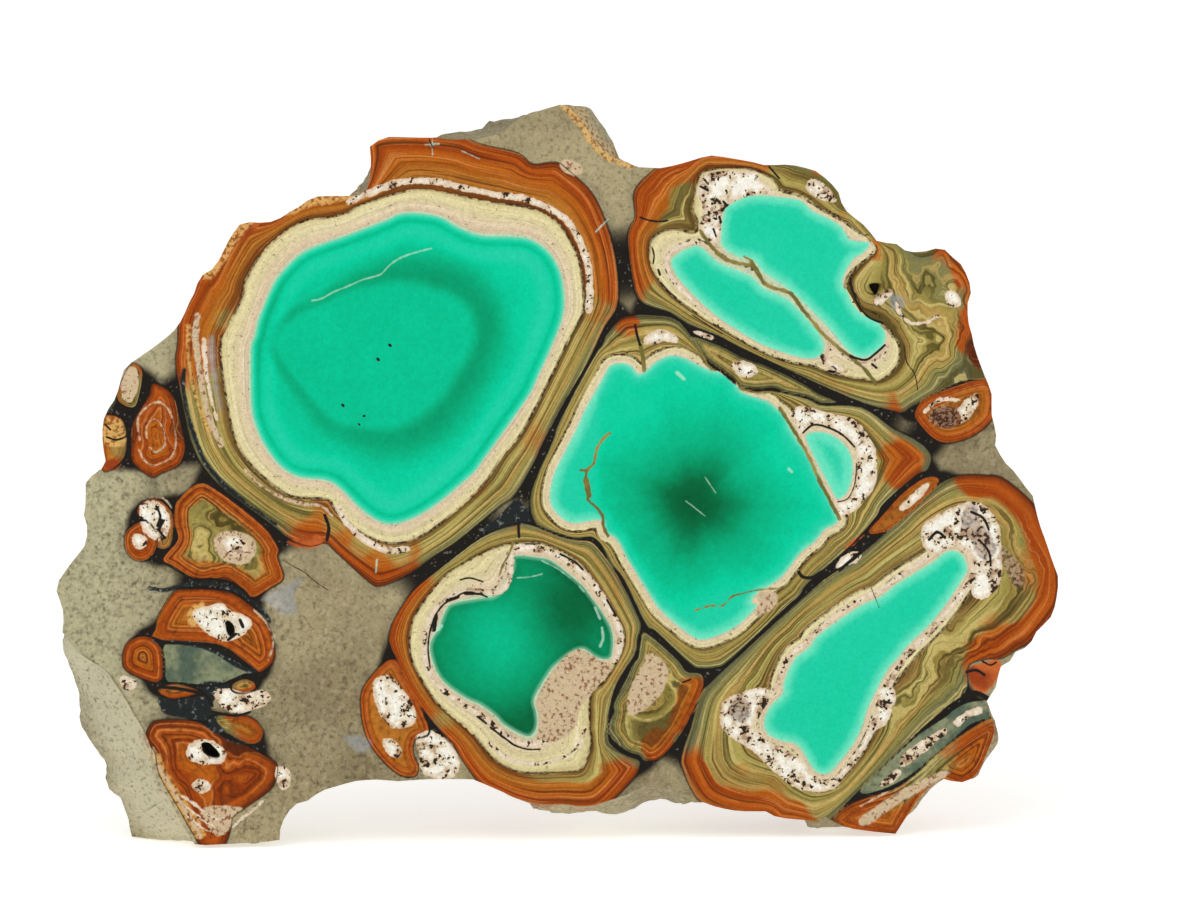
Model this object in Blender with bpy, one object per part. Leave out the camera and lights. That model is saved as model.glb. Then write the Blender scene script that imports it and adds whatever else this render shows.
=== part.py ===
"""A sawn and polished slab of variscite nodules in limestone, standing on two flat feet.

The polished face looks towards -Y, the slab is widest along X and stands up along Z.
"""

import math

import bmesh
import bpy
import numpy as np
from mathutils import Vector, geometry, noise

NODE = "variscite_slab"
MM = 0.001

# Sizes of the slab
STONE_WIDTH = 0.200
FACE_EDGE_DEPTH = 2.5 * MM
FACE_EDGE_INSET = 0.4 * MM
RIM_DEPTH = 25.0 * MM
RIM_INSET = 7.0 * MM
DOME_RISE = 5.0 * MM
DOME_REACH = 22.0 * MM
EDGE_STEP = 2.1 * MM
BACK_STEP = 5.0 * MM

# Roughness of the broken stone
LUMP_SIZE = 18.0 * MM
LUMP_HEIGHT = 1.5 * MM
FACET_SIZE = 13.0 * MM
FACET_HEIGHT = 1.6 * MM
ROUGH_FROM = 9.0 * MM

# Feet
FOOT_OVERLAP = 2.6 * MM
FOOT_BLEND = 6.0 * MM
FOOT_LOW = 7.0 * MM
FOOT_HIGH = 12.0 * MM

# The drawing of the face: units across the stone, its centre and its floor line there. It's
# drawn from a little above and a little to the left, so what lies behind is drawn higher.
DRAWN_WIDTH = 1003.0
DRAWN_CENTRE = 558.5
DRAWN_FLOOR = 844.0
VIEW_RISE = math.radians(10.0)
VIEW_TURN = math.radians(5.0)
UNIT = STONE_WIDTH * math.cos(VIEW_TURN) / DRAWN_WIDTH

# Outline of the sawn face against the outermost line of the stone, counterclockwise as drawn,
# from the left side. Each run is the sawn edge, the outer line where it lies behind the sawn
# edge, and the depth of that outer line.
LEFT_SIDE = [
    (168, 338), (155, 348), (142, 357), (130, 365), (125, 371), (121, 386), (118, 398),
    (112, 405), (106, 417), (104, 425), (104, 448), (107, 455), (107, 463), (101, 472),
    (96, 473), (87, 481), (87, 503), (85, 515), (89, 528), (87, 544), (81, 552), (69, 567),
    (60, 580), (57, 592), (61, 601), (65, 615), (63, 632),
]
LEFT_RIDGE = [
    (63, 632), (72, 643), (82, 655), (98, 665), (107, 670), (115, 684), (123, 695),
    (132, 711), (140, 724), (148, 740), (152, 753), (150, 765), (155, 780), (167, 797),
    (175, 811), (184, 830), (194, 845),
]
LEFT_FLANK = [
    (63, 632), (67, 651), (70, 668), (76, 684), (81, 703), (83, 722), (88, 742), (96, 753),
    (103, 765), (111, 778), (114, 790), (121, 801), (125, 813), (132, 826), (144, 834),
    (153, 842), (163, 848), (178, 847), (194, 845),
]
LEFT_FOOT_AND_ARCH = [
    (194, 845), (203, 846), (223, 845), (242, 844), (263, 843), (279, 841), (280, 826),
    (286, 815), (294, 805), (309, 801), (319, 792), (336, 787), (353, 782), (373, 780),
    (398, 782), (427, 780), (455, 780), (472, 780), (489, 787), (511, 797), (522, 801),
]
MIDDLE_EDGE = [
    (522, 801), (534, 804), (549, 806), (561, 805), (574, 807), (590, 808), (605, 803),
    (625, 797), (645, 787), (662, 786), (680, 796), (694, 804),
]
MIDDLE_SLOPE = [
    (522, 801), (535, 808), (551, 813), (573, 816), (604, 815), (627, 811), (644, 804),
    (661, 799), (675, 801), (694, 804),
]
RIGHT_FOOT_AND_SIDE = [
    (694, 804), (702, 803), (718, 809), (740, 813), (769, 813), (777, 819), (796, 821),
    (818, 823), (828, 818), (838, 826), (855, 831), (877, 834), (898, 836), (904, 825),
    (911, 815), (917, 806), (922, 797), (931, 788), (944, 780), (958, 784), (968, 784),
    (975, 780), (982, 771), (988, 757), (993, 745), (998, 728), (993, 718), (988, 707),
    (987, 700), (995, 695), (998, 688), (1000, 677), (1003, 667), (1012, 662),
    (1018, 652), (1032, 647), (1035, 638), (1040, 630), (1052, 620), (1057, 607),
    (1060, 590), (1060, 577), (1053, 558), (1048, 543), (1042, 527), (1037, 510),
    (1035, 497), (1025, 485), (1017, 473), (1008, 465), (1000, 453), (995, 443),
    (998, 432), (993, 420), (992, 408), (993, 400), (992, 390), (987, 380), (980, 362),
    (975, 348), (972, 333), (968, 320), (968, 303), (972, 290), (968, 277), (962, 265),
    (950, 255), (942, 247), (930, 250), (920, 253), (907, 252), (895, 243), (879, 243),
    (873, 238), (869, 230), (860, 222), (850, 215), (842, 207), (840, 195), (835, 188),
    (827, 180), (817, 172), (804, 168), (790, 165), (765, 166), (754, 163), (738, 160),
    (719, 157), (708, 156), (696, 160), (679, 165), (662, 169), (639, 168),
]
PEAK_EDGE = [
    (639, 168), (622, 162), (608, 156), (597, 146), (587, 130), (578, 117), (567, 107),
    (560, 106),
]
PEAK_FLANK = [
    (639, 168), (632, 162), (622, 153), (610, 142), (601, 128), (591, 115), (580, 107),
    (568, 102), (560, 106),
]
CHIPPED_EDGE = [
    (560, 106), (545, 111), (528, 115), (518, 121), (503, 134), (480, 140), (455, 141),
    (433, 139),
]
CHIPPED_TOP = [
    (560, 106), (543, 110), (526, 115), (507, 117), (491, 119), (485, 127), (478, 130),
    (445, 131), (433, 139),
]
CROWN = [(433, 139), (420, 139), (391, 138), (379, 142), (371, 148)]
CROWN_SIDE_EDGE = [(371, 148), (372, 159), (372, 177), (368, 190), (360, 197), (350, 197)]
CROWN_SIDE = [(371, 148), (371, 157), (368, 167), (362, 178), (356, 190), (350, 197)]
LEFT_SHOULDER = [
    (350, 197), (320, 197), (308, 202), (302, 207), (291, 213), (279, 221), (268, 224),
    (248, 223), (243, 224), (239, 228), (231, 240), (226, 250), (222, 259), (214, 270),
    (206, 274), (200, 280), (198, 290), (191, 303), (185, 317), (179, 328), (168, 338),
]
RUNS = [
    (LEFT_SIDE, None, 0.0),
    (LEFT_RIDGE, LEFT_FLANK, 8.0 * MM),
    (LEFT_FOOT_AND_ARCH, None, 0.0),
    (MIDDLE_EDGE, MIDDLE_SLOPE, 13.0 * MM),
    (RIGHT_FOOT_AND_SIDE, None, 0.0),
    (PEAK_EDGE, PEAK_FLANK, 6.0 * MM),
    (CHIPPED_EDGE, CHIPPED_TOP, 5.0 * MM),
    (CROWN, None, 0.0),
    (CROWN_SIDE_EDGE, CROWN_SIDE, 5.0 * MM),
    (LEFT_SHOULDER, None, 0.0),
]

# Feet: the span of the drawing over which the underside comes down to the floor, and the part
# of the depth by which it has
FEET = [(128, 276, 0.15), (806, 902, 0.4)]

# Nodules that stand out at the back: centre as drawn, radius as drawn, rise
BACK_NODULES = [
    (395, 370, 190, 8.0 * MM),
    (715, 500, 130, 6.0 * MM),
    (840, 300, 120, 6.5 * MM),
    (530, 665, 115, 5.0 * MM),
    (880, 640, 135, 6.5 * MM),
    (215, 560, 70, 3.5 * MM),
    (205, 750, 70, 3.5 * MM),
    (600, 210, 75, 3.0 * MM),
]

# Pits in the polished face: centre as drawn, half width, half height, depth
PITS = [
    (211, 750, 2.3 * MM, 1.7 * MM, 4.0 * MM),
    (230, 628, 1.4 * MM, 1.8 * MM, 2.5 * MM),
    (876, 290, 1.6 * MM, 1.7 * MM, 3.0 * MM),
    (948, 416, 2.9 * MM, 2.0 * MM, 3.5 * MM),
    (740, 713, 1.9 * MM, 2.1 * MM, 2.5 * MM),
]

# Loops from the outermost line to the rim of the back: part of the depth, part of the inset,
# and the length over which the outline is evened out
WALL_STEPS = [
    (0.2, 0.14, 1.5 * MM),
    (0.42, 0.30, 3.5 * MM),
    (0.66, 0.52, 6.0 * MM),
    (0.86, 0.76, 8.0 * MM),
    (1.0, 1.0, 9.0 * MM),
]


def place(x, y, depth):
    """Real X and Z of a drawn point that lies this far behind the face."""
    across = ((x - DRAWN_CENTRE) * UNIT + depth * math.sin(VIEW_TURN)) / math.cos(VIEW_TURN)
    away = across * math.sin(VIEW_TURN) + depth * math.cos(VIEW_TURN)
    rise = (DRAWN_FLOOR - y) * UNIT - away * math.sin(VIEW_RISE)
    return across, rise / math.cos(VIEW_RISE)


def spread(points, count):
    """The line through these points as this many evenly spaced ones, without its last."""
    points = np.array(points, float)
    lengths = np.hypot(*np.diff(points, axis=0).T)
    along = np.concatenate([[0.0], np.cumsum(lengths)])
    wanted = np.linspace(0.0, along[-1], count + 1)[:-1]
    return np.column_stack([np.interp(wanted, along, column) for column in points.T])


def drawn_loops():
    """The sawn edge, the outermost line and its depth, point for point."""
    edges, outers, depths = [], [], []
    for edge, outer, depth in RUNS:
        length = np.hypot(*np.diff(np.array(edge, float), axis=0).T).sum() * UNIT
        count = max(2, round(length / EDGE_STEP))
        part = np.sin(np.linspace(0.0, math.pi, count, endpoint=False))
        edges.append(spread(edge, count))
        outers.append(spread(outer or edge, count))
        depths.append(FACE_EDGE_DEPTH + np.sqrt(part) * depth)
    return np.concatenate(edges), np.concatenate(outers), np.concatenate(depths)


def softened(loop, reach):
    """The closed loop with each point averaged over its neighbours out to this reach."""
    steps = round(3 * reach / EDGE_STEP)
    offsets = np.arange(-steps, steps + 1)
    weights = np.exp(-0.5 * (offsets * EDGE_STEP / reach) ** 2)
    total = sum(np.roll(loop, -k, axis=0) * w for k, w in zip(offsets, weights))
    return total / weights.sum()


def inward(loop):
    """Unit vectors into the stone from each point of a loop drawn in X and Z."""
    ahead = np.roll(loop, -1, axis=0) - np.roll(loop, 1, axis=0)
    normal = np.column_stack([-ahead[:, 1], ahead[:, 0]])
    return normal / np.hypot(*normal.T)[:, None]


def step_between(values, low, high):
    """0 below low, 1 above high, and smooth in between."""
    part = np.clip((values - low) / (high - low), 0.0, 1.0)
    return part * part * (3.0 - 2.0 * part)


def foot_share(xs, deep):
    """How far each X at this part of the depth has come down to the floor, from 0 to 1."""
    share = np.zeros(len(xs))
    for start, end, down_by in FEET:
        left = (start - DRAWN_CENTRE) * UNIT
        right = (end - DRAWN_CENTRE) * UNIT
        inside = np.minimum(xs - left, right - xs)
        across = step_between(inside, -FOOT_BLEND / 2, FOOT_BLEND / 2)
        share = np.maximum(share, across * min(1.0, deep / down_by))
    return share


def rings():
    """Closed loops of (X, Y, Z) from the sawn edge to the rim of the back."""
    edge, outer, depths = drawn_loops()
    face = np.array([place(x, y, 0.0) for x, y in edge])
    shell = np.array([place(x, y, d) for (x, y), d in zip(outer, depths - FACE_EDGE_DEPTH)])
    flared = np.clip((depths - FACE_EDGE_DEPTH) / FACE_EDGE_DEPTH, 0.0, 1.0)[:, None]
    shell += inward(softened(face, EDGE_STEP)) * FACE_EDGE_INSET * (1.0 - flared)
    low = 1.0 - step_between(shell[:, 1], FOOT_LOW, FOOT_HIGH)
    loops = [(face, np.zeros(len(face))), (shell, depths)]
    for deep, inset, reach in WALL_STEPS:
        even = softened(shell, reach)
        loop = even + inward(even) * RIM_INSET * inset
        down = low * foot_share(shell[:, 0], deep)
        loop[:, 1] = loop[:, 1] * (1.0 - down) - FOOT_OVERLAP * down
        loops.append((loop, depths + (RIM_DEPTH - depths) * deep))
    return [np.column_stack([loop[:, 0], deep, loop[:, 1]]) for loop, deep in loops]


def loft(bm, loops):
    """Joins loops of the same length by quads and returns the last loop's vertices."""
    last = [bm.verts.new(point) for point in loops[0]]
    bm.faces.new(last)
    for loop in loops[1:]:
        following = [bm.verts.new(point) for point in loop]
        for at, vert in enumerate(last):
            after = (at + 1) % len(last)
            bm.faces.new((vert, following[at], following[after], last[after]))
        last = following
    return last


def fill_back(bm, rim):
    """Closes the rim with a sheet of even triangles and returns the points inside it."""
    outline = np.array([(vert.co.x, vert.co.z) for vert in rim])
    rows = []
    low, high = outline.min(axis=0), outline.max(axis=0)
    for row, z in enumerate(np.arange(low[1], high[1], BACK_STEP * math.sqrt(0.75))):
        start = low[0] + BACK_STEP * 0.5 * (row % 2)
        for x in np.arange(start, high[0], BACK_STEP):
            if np.hypot(outline[:, 0] - x, outline[:, 1] - z).min() > BACK_STEP * 0.6:
                rows.append((x, z))
    points = [Vector(point) for point in outline.tolist() + rows]
    edges = [(at, (at + 1) % len(rim)) for at in range(len(rim))]
    sheet = geometry.delaunay_2d_cdt(points, edges, [], 1, 1e-7)
    verts = []
    for point, origins in zip(sheet[0], sheet[3]):
        if origins and origins[0] < len(rim):
            verts.append(rim[origins[0]])
        else:
            verts.append(bm.verts.new((point.x, RIM_DEPTH, point.y)))
    for face in sheet[2]:
        bm.faces.new([verts[at] for at in face])
    for vert in verts:
        if not vert.link_faces:
            bm.verts.remove(vert)
    return [vert for vert in verts if vert.is_valid and vert not in set(rim)]


def back_depth(point, rim_points):
    """Depth of the back at this place: a dome with the nodules standing out of it."""
    gap = np.hypot(rim_points[:, 0] - point.x, rim_points[:, 1] - point.z).min()
    rise = DOME_RISE * float(step_between(np.array([gap]), 0.0, DOME_REACH)[0])
    swell = 0.0
    for x, y, radius, height in BACK_NODULES:
        centre_x, centre_z = place(x, y, RIM_DEPTH)
        away = math.hypot(point.x - centre_x, point.z - centre_z) / (radius * UNIT)
        swell = max(swell, height * math.sqrt(max(0.0, 1.0 - away * away)))
    fade = float(step_between(np.array([gap]), 0.0, DOME_REACH / 2)[0])
    return RIM_DEPTH + rise + swell * fade


def roughen(bm):
    """Breaks up the outer surface with lumps and facets, but not the sawn face."""
    bm.normal_update()
    for vert in bm.verts:
        deep = float(step_between(np.array([vert.co.y]), 0.0, ROUGH_FROM)[0])
        lump = noise.noise(vert.co / LUMP_SIZE) - 0.3
        nearest, second = noise.voronoi(vert.co / FACET_SIZE)[0][:2]
        facet = min(second - nearest, 0.5) - 0.35
        vert.co += vert.normal * (lump * LUMP_HEIGHT + facet * FACET_HEIGHT) * deep


def cut_floor(bm):
    """Cuts the feet flat at floor level."""
    geometry = list(bm.verts) + list(bm.edges) + list(bm.faces)
    found = bmesh.ops.bisect_plane(
        bm, geom=geometry, dist=1e-7, plane_co=(0, 0, 0), plane_no=(0, 0, 1), clear_inner=True
    )
    edges = [item for item in found["geom_cut"] if isinstance(item, bmesh.types.BMEdge)]
    open_edges = [edge for edge in edges if edge.is_boundary]
    bmesh.ops.edgeloop_fill(bm, edges=open_edges)


def slab_mesh():
    """The whole stone without its pits."""
    bm = bmesh.new()
    loops = rings()
    rim = loft(bm, loops)
    rim_points = loops[-1][:, [0, 2]]
    for vert in fill_back(bm, rim):
        vert.co.y = back_depth(vert.co, rim_points)
    roughen(bm)
    cut_floor(bm)
    bmesh.ops.recalc_face_normals(bm, faces=bm.faces)
    bmesh.ops.triangulate(bm, faces=bm.faces)
    mesh = bpy.data.meshes.new(NODE)
    bm.to_mesh(mesh)
    bm.free()
    return mesh


def stone_material():
    """Brown-grey limestone with a waxy polish."""
    material = bpy.data.materials.new("stone")
    material.use_nodes = True
    shader = material.node_tree.nodes["Principled BSDF"]
    shader.inputs["Base Color"].default_value = (0.16, 0.30, 0.16, 1.0)
    shader.inputs["Roughness"].default_value = 0.45
    shader.inputs["Metallic"].default_value = 0.0
    return material


def cut_pits(slab, helpers):
    """Cuts the small hollows into the polished face."""
    for number, (x, y, half_width, half_height, depth) in enumerate(PITS):
        centre_x, centre_z = place(x, y, 0.0)
        bpy.ops.mesh.primitive_ico_sphere_add(subdivisions=2, radius=1.0)
        cutter = bpy.context.object
        cutter.name = f"pit_cutter_{number}"
        cutter.scale = (half_width, depth, half_height)
        cutter.location = (centre_x, 0.0, centre_z)
        bpy.ops.object.transform_apply(location=True, rotation=False, scale=True)
        cutter.hide_render = True
        cutter.display_type = "WIRE"
        for collection in list(cutter.users_collection):
            collection.objects.unlink(cutter)
        helpers.objects.link(cutter)
        cut = slab.modifiers.new(f"pit_{number}", "BOOLEAN")
        cut.operation = "DIFFERENCE"
        cut.solver = "EXACT"
        cut.object = cutter


def main():
    for old in list(bpy.data.objects):
        bpy.data.objects.remove(old, do_unlink=True)
    parts = bpy.data.collections.new("variscite")
    helpers = bpy.data.collections.new("helpers")
    bpy.context.scene.collection.children.link(parts)
    bpy.context.scene.collection.children.link(helpers)
    slab = bpy.data.objects.new(NODE, slab_mesh())
    parts.objects.link(slab)
    slab.data.materials.append(stone_material())
    cut_pits(slab, helpers)
    ys = [vert.co.y for vert in slab.data.vertices]
    xs = [vert.co.x for vert in slab.data.vertices]
    middle_x = (min(xs) + max(xs)) / 2
    middle_y = (min(ys) + max(ys)) / 2
    for item in parts.objects[:] + helpers.objects[:]:
        item.location = (-middle_x, -middle_y, 0.0)


main()
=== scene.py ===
"""A sawn and polished slab of variscite nodules, standing on a pale floor under soft light."""

import logging
import math
from dataclasses import dataclass, field, fields
from enum import Enum

import bmesh
import bpy
import numpy as np
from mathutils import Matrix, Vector, geometry, kdtree, noise


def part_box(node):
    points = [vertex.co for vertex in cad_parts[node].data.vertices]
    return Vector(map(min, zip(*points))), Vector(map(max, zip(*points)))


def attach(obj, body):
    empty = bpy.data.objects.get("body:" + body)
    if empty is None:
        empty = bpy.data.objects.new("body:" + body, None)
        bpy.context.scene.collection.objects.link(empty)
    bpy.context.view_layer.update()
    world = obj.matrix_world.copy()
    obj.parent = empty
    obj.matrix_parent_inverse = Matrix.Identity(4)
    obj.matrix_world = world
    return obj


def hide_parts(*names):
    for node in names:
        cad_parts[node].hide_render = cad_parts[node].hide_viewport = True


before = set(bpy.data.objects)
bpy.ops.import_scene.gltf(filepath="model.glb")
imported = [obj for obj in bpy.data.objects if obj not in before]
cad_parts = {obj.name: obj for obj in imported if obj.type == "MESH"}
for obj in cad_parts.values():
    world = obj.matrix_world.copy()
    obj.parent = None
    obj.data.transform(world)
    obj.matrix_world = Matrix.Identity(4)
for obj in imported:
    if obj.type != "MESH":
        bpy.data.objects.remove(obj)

LOG = logging.getLogger("variscite")
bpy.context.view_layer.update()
MM = 0.001
Points = tuple[tuple[float, float], ...]
Colour = tuple[int, int, int]


@dataclass(frozen=True)
class Drawing:
    """The face as drawn: seen a little from above and from the left, y running down."""

    width: float = 1003.0
    centre: float = 558.5
    floor: float = 844.0
    rise: float = math.radians(10.0)
    turn: float = math.radians(5.0)
    stone_width: float = 0.200

    @property
    def unit(self) -> float:
        """Metres to one drawn unit."""
        return self.stone_width * math.cos(self.turn) / self.width

    def drawn(self, places: np.ndarray) -> np.ndarray:
        """Turns real places on the face into drawn ones.

        Args:
            places: X and Z in metres, one row each.

        Returns:
            Drawn x and y, one row each.
        """
        across, up = places[:, 0], places[:, 1]
        x = self.centre + across * math.cos(self.turn) / self.unit
        away = across * math.sin(self.turn) * math.sin(self.rise)
        y = self.floor - (up * math.cos(self.rise) + away) / self.unit
        return np.column_stack([x, y])

    def real(self, x: float, y: float) -> tuple[float, float]:
        """Turns a drawn place on the face into a real one.

        Args:
            x: Drawn x.
            y: Drawn y.

        Returns:
            X and Z in metres.
        """
        across = (x - self.centre) * self.unit / math.cos(self.turn)
        away = across * math.sin(self.turn) * math.sin(self.rise)
        return across, ((self.floor - y) * self.unit - away) / math.cos(self.rise)


class Core(Enum):
    """How the green of a core changes from place to place."""

    RINGED = "a disc with a dark ring in a paler field"
    DARK_HEART = "a dark middle that fades outwards"
    DEEP = "deep green with a paler middle"
    EVEN = "even light green"
    NONE = "no green core"


class Inside(Enum):
    """What fills a nodule that has no green core."""

    CREAM = "cream"
    OLIVE = "olive, under a rusty rind"
    RUST = "rust and ochre"
    SLATE = "smooth grey-green stone"


@dataclass(frozen=True)
class Nodule:
    """One nodule on the face, with its outlines as drawn.

    Args:
        rim: Outermost line.
        cores: Outlines of the green core's parts.
        bed: Line between the coloured rind and the cream, if it is drawn.
        cream: Width of the cream in drawn units where no bed is drawn.
        rind: Width of the rind in drawn units where there is no core.
        core: How the green changes.
        inside: What fills it where there is no core.
        rust: Added to how orange the rind is, from -1 to 1.
        rust_reach: How deep the orange goes in drawn units.
        beaded: Whether a line of dark beads runs round the core.
        spots: Places (x, y, radius, amount) that are more or less orange.
    """

    rim: Points
    cores: tuple[Points, ...] = ()
    bed: Points | None = None
    cream: float = 9.0
    rind: float = 12.0
    core: Core = Core.NONE
    inside: Inside = Inside.RUST
    rust: float = 0.0
    rust_reach: float = 200.0
    beaded: bool = False
    spots: tuple[tuple[float, float, float, float], ...] = ()


@dataclass(frozen=True)
class Mark:
    """A closed patch, or a line of some width, as drawn."""

    points: Points
    width: float = 0.0


BIG_LEFT = Nodule(
    rim=(
        (366, 142), (390, 132), (455, 136), (480, 145), (518, 154), (533, 165), (555, 163), (568, 171),
        (595, 198), (614, 250), (618, 302), (604, 328), (587, 364), (563, 405), (543, 443), (535, 461),
        (515, 495), (499, 507), (458, 541), (435, 556), (417, 569), (399, 579), (381, 586), (369, 582),
        (335, 551), (326, 543), (309, 546), (288, 538), (275, 527), (225, 490), (207, 471), (194, 448),
        (186, 417), (177, 365), (179, 345), (181, 315), (194, 288), (198, 276), (210, 271), (223, 247),
        (235, 226), (248, 218), (268, 219), (277, 217), (300, 203), (320, 193), (349, 192), (360, 193),
        (366, 188), (369, 177), (369, 159),
    ),
    bed=(
        (439, 192), (493, 203), (525, 207), (546, 215), (561, 226), (576, 251), (581, 269), (584, 310),
        (571, 336), (541, 398), (520, 436), (503, 456), (479, 490), (428, 533), (392, 544), (361, 533),
        (335, 510), (328, 500), (300, 498), (286, 494), (267, 480), (248, 461), (236, 440), (230, 417),
        (222, 365), (222, 340), (227, 330), (243, 298), (246, 282), (262, 255), (283, 234), (306, 221),
        (329, 218), (348, 213), (362, 205), (410, 191),
    ),
    cores=((
        (418, 214), (441, 218), (459, 228), (481, 236), (510, 237), (530, 240), (546, 250), (557, 265),
        (563, 285), (562, 320), (537, 379), (526, 400), (484, 459), (469, 477), (428, 510), (392, 524),
        (366, 513), (340, 488), (325, 480), (300, 477), (282, 467), (267, 448), (257, 427), (252, 403),
        (252, 350), (256, 336), (260, 319), (273, 288), (283, 273), (306, 252), (348, 236), (387, 221),
        (400, 215),
    ),),
    core=Core.RINGED,
    spots=((234, 380, 20, -1.2), (242, 440, 20, -1.1), (268, 482, 22, -0.55), (305, 508, 17, -0.5),
           (336, 522, 14, -0.6), (362, 546, 14, -0.7), (398, 553, 16, -0.9), (440, 532, 22, -1.0),
           (228, 320, 14, -0.6), (440, 556, 24, -1.1), (478, 524, 30, -1.2), (516, 492, 34, -1.3),
           (207, 458, 22, -0.9), (232, 490, 18, -0.6), (208, 400, 12, -0.8), (600, 330, 26, 0.3)),
)
RING = (
    (276, 344), (283, 325), (298, 312), (320, 302), (343, 290), (372, 280), (405, 275), (438, 281),
    (463, 292), (478, 308), (484, 328), (481, 349), (457, 391), (442, 409), (422, 424), (402, 434),
    (380, 436), (357, 433), (335, 426), (315, 408), (281, 364),
)
UPPER_RIGHT = Nodule(
    rim=(
        (662, 166), (708, 152), (722, 152), (765, 161), (790, 160), (820, 169), (839, 185), (845, 204),
        (860, 217), (873, 233), (883, 239), (897, 239), (909, 248), (920, 249), (943, 243), (955, 252),
        (966, 264), (973, 277), (975, 290), (972, 304), (979, 348), (986, 362), (990, 378), (960, 382),
        (915, 405), (905, 412), (893, 411), (850, 398), (745, 350), (720, 337), (689, 325), (670, 313),
        (651, 307), (639, 300), (633, 282), (628, 244), (630, 228), (635, 217), (634, 192), (651, 173),
    ),
    cores=(
        (
            (725, 209), (735, 202), (754, 196), (792, 199), (804, 203), (812, 211), (831, 220),
            (842, 228), (850, 240), (869, 243), (863, 253), (852, 261), (842, 282), (848, 293),
            (852, 303), (863, 315), (877, 322), (885, 332), (883, 345), (866, 357), (850, 352),
            (827, 326), (792, 292), (763, 272), (754, 261), (738, 257), (723, 247), (721, 235),
        ),
        (
            (671, 263), (677, 255), (687, 249), (700, 247), (719, 263), (750, 276), (763, 288),
            (783, 297), (796, 307), (820, 335), (823, 352), (808, 359), (773, 349), (750, 338),
            (715, 315), (681, 282),
        ),
    ),
    bed=(
        (699, 176), (715, 169), (739, 168), (757, 171), (773, 180), (781, 191), (799, 196), (827, 213),
        (847, 224), (873, 244), (874, 253), (859, 265), (847, 278), (846, 297), (858, 313), (876, 322),
        (891, 333), (900, 347), (898, 365), (883, 379), (868, 380), (835, 375), (811, 366), (791, 363),
        (767, 355), (739, 340), (683, 305), (663, 287), (651, 267), (649, 246), (657, 234), (675, 229),
        (694, 233), (697, 222), (693, 209),
    ),
    core=Core.EVEN,
    rust=-0.1,
    rust_reach=24.0,
    beaded=True,
    spots=((650, 205, 26, 1.4), (638, 262, 24, 1.0), (710, 163, 46, 0.8), (975, 315, 13, 0.9),
           (984, 362, 15, 1.0), (925, 300, 46, -1.2), (860, 225, 20, -1.2), (962, 275, 12, 0.8),
           (790, 176, 22, -1.6), (830, 195, 24, -1.4), (686, 206, 15, -1.6), (674, 226, 12, -1.4),
           (905, 250, 26, -1.2), (700, 318, 60, -0.6)),
)
SMALL_RIGHT = Nodule(
    rim=(
        (915, 412), (923, 400), (937, 393), (967, 382), (988, 379), (996, 390), (994, 418), (970, 438),
        (940, 442), (918, 422),
    ),
    rind=22.0,
    rust=1.0,
)
MIDDLE = Nodule(
    rim=(
        (619, 320), (630, 316), (650, 315), (680, 322), (707, 362), (722, 373), (737, 385), (755, 391),
        (774, 391), (808, 399), (822, 405), (862, 407), (893, 428), (913, 438), (927, 448), (932, 458),
        (928, 470), (915, 477), (884, 504), (876, 518), (848, 549), (809, 583), (800, 596), (784, 610),
        (730, 661), (717, 668), (702, 669), (691, 665), (656, 632), (646, 625), (624, 580), (612, 565),
        (596, 539), (573, 538), (543, 528), (533, 520), (530, 500), (535, 480), (553, 440), (560, 420),
        (592, 360), (602, 345), (607, 334),
    ),
    cores=(
        (
            (610, 366), (621, 363), (631, 366), (638, 374), (646, 371), (656, 362), (670, 356),
            (684, 358), (709, 370), (725, 373), (735, 382), (742, 392), (767, 401), (776, 408),
            (785, 415), (790, 428), (799, 442), (811, 458), (836, 512), (837, 523), (825, 530),
            (815, 542), (801, 553), (781, 578), (757, 594), (752, 603), (757, 607), (739, 625),
            (723, 634), (705, 640), (691, 636), (663, 613), (651, 597), (628, 560), (621, 546),
            (614, 537), (605, 532), (601, 520), (578, 523), (566, 521), (555, 511), (550, 500),
            (552, 481), (559, 463), (578, 426), (585, 410), (603, 378),
        ),
        (
            (806, 436), (815, 432), (827, 433), (840, 440), (850, 452), (853, 465), (852, 480),
            (847, 493), (838, 499), (832, 490), (812, 452),
        ),
    ),
    cream=9.0,
    core=Core.DARK_HEART,
    rust=-1.0,
    spots=((626, 326, 16, 1.6), (905, 468, 26, 1.9), (888, 470, 30, 0.7)),
)
LENS = Nodule(
    rim=(
        (690, 336), (718, 345), (744, 358), (769, 367), (802, 383), (820, 394), (838, 402), (822, 403),
        (808, 397), (785, 392), (775, 388), (755, 389), (739, 386), (732, 378), (707, 360), (698, 348),
    ),
    rind=16.0,
    rust=-1.0,
)
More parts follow.
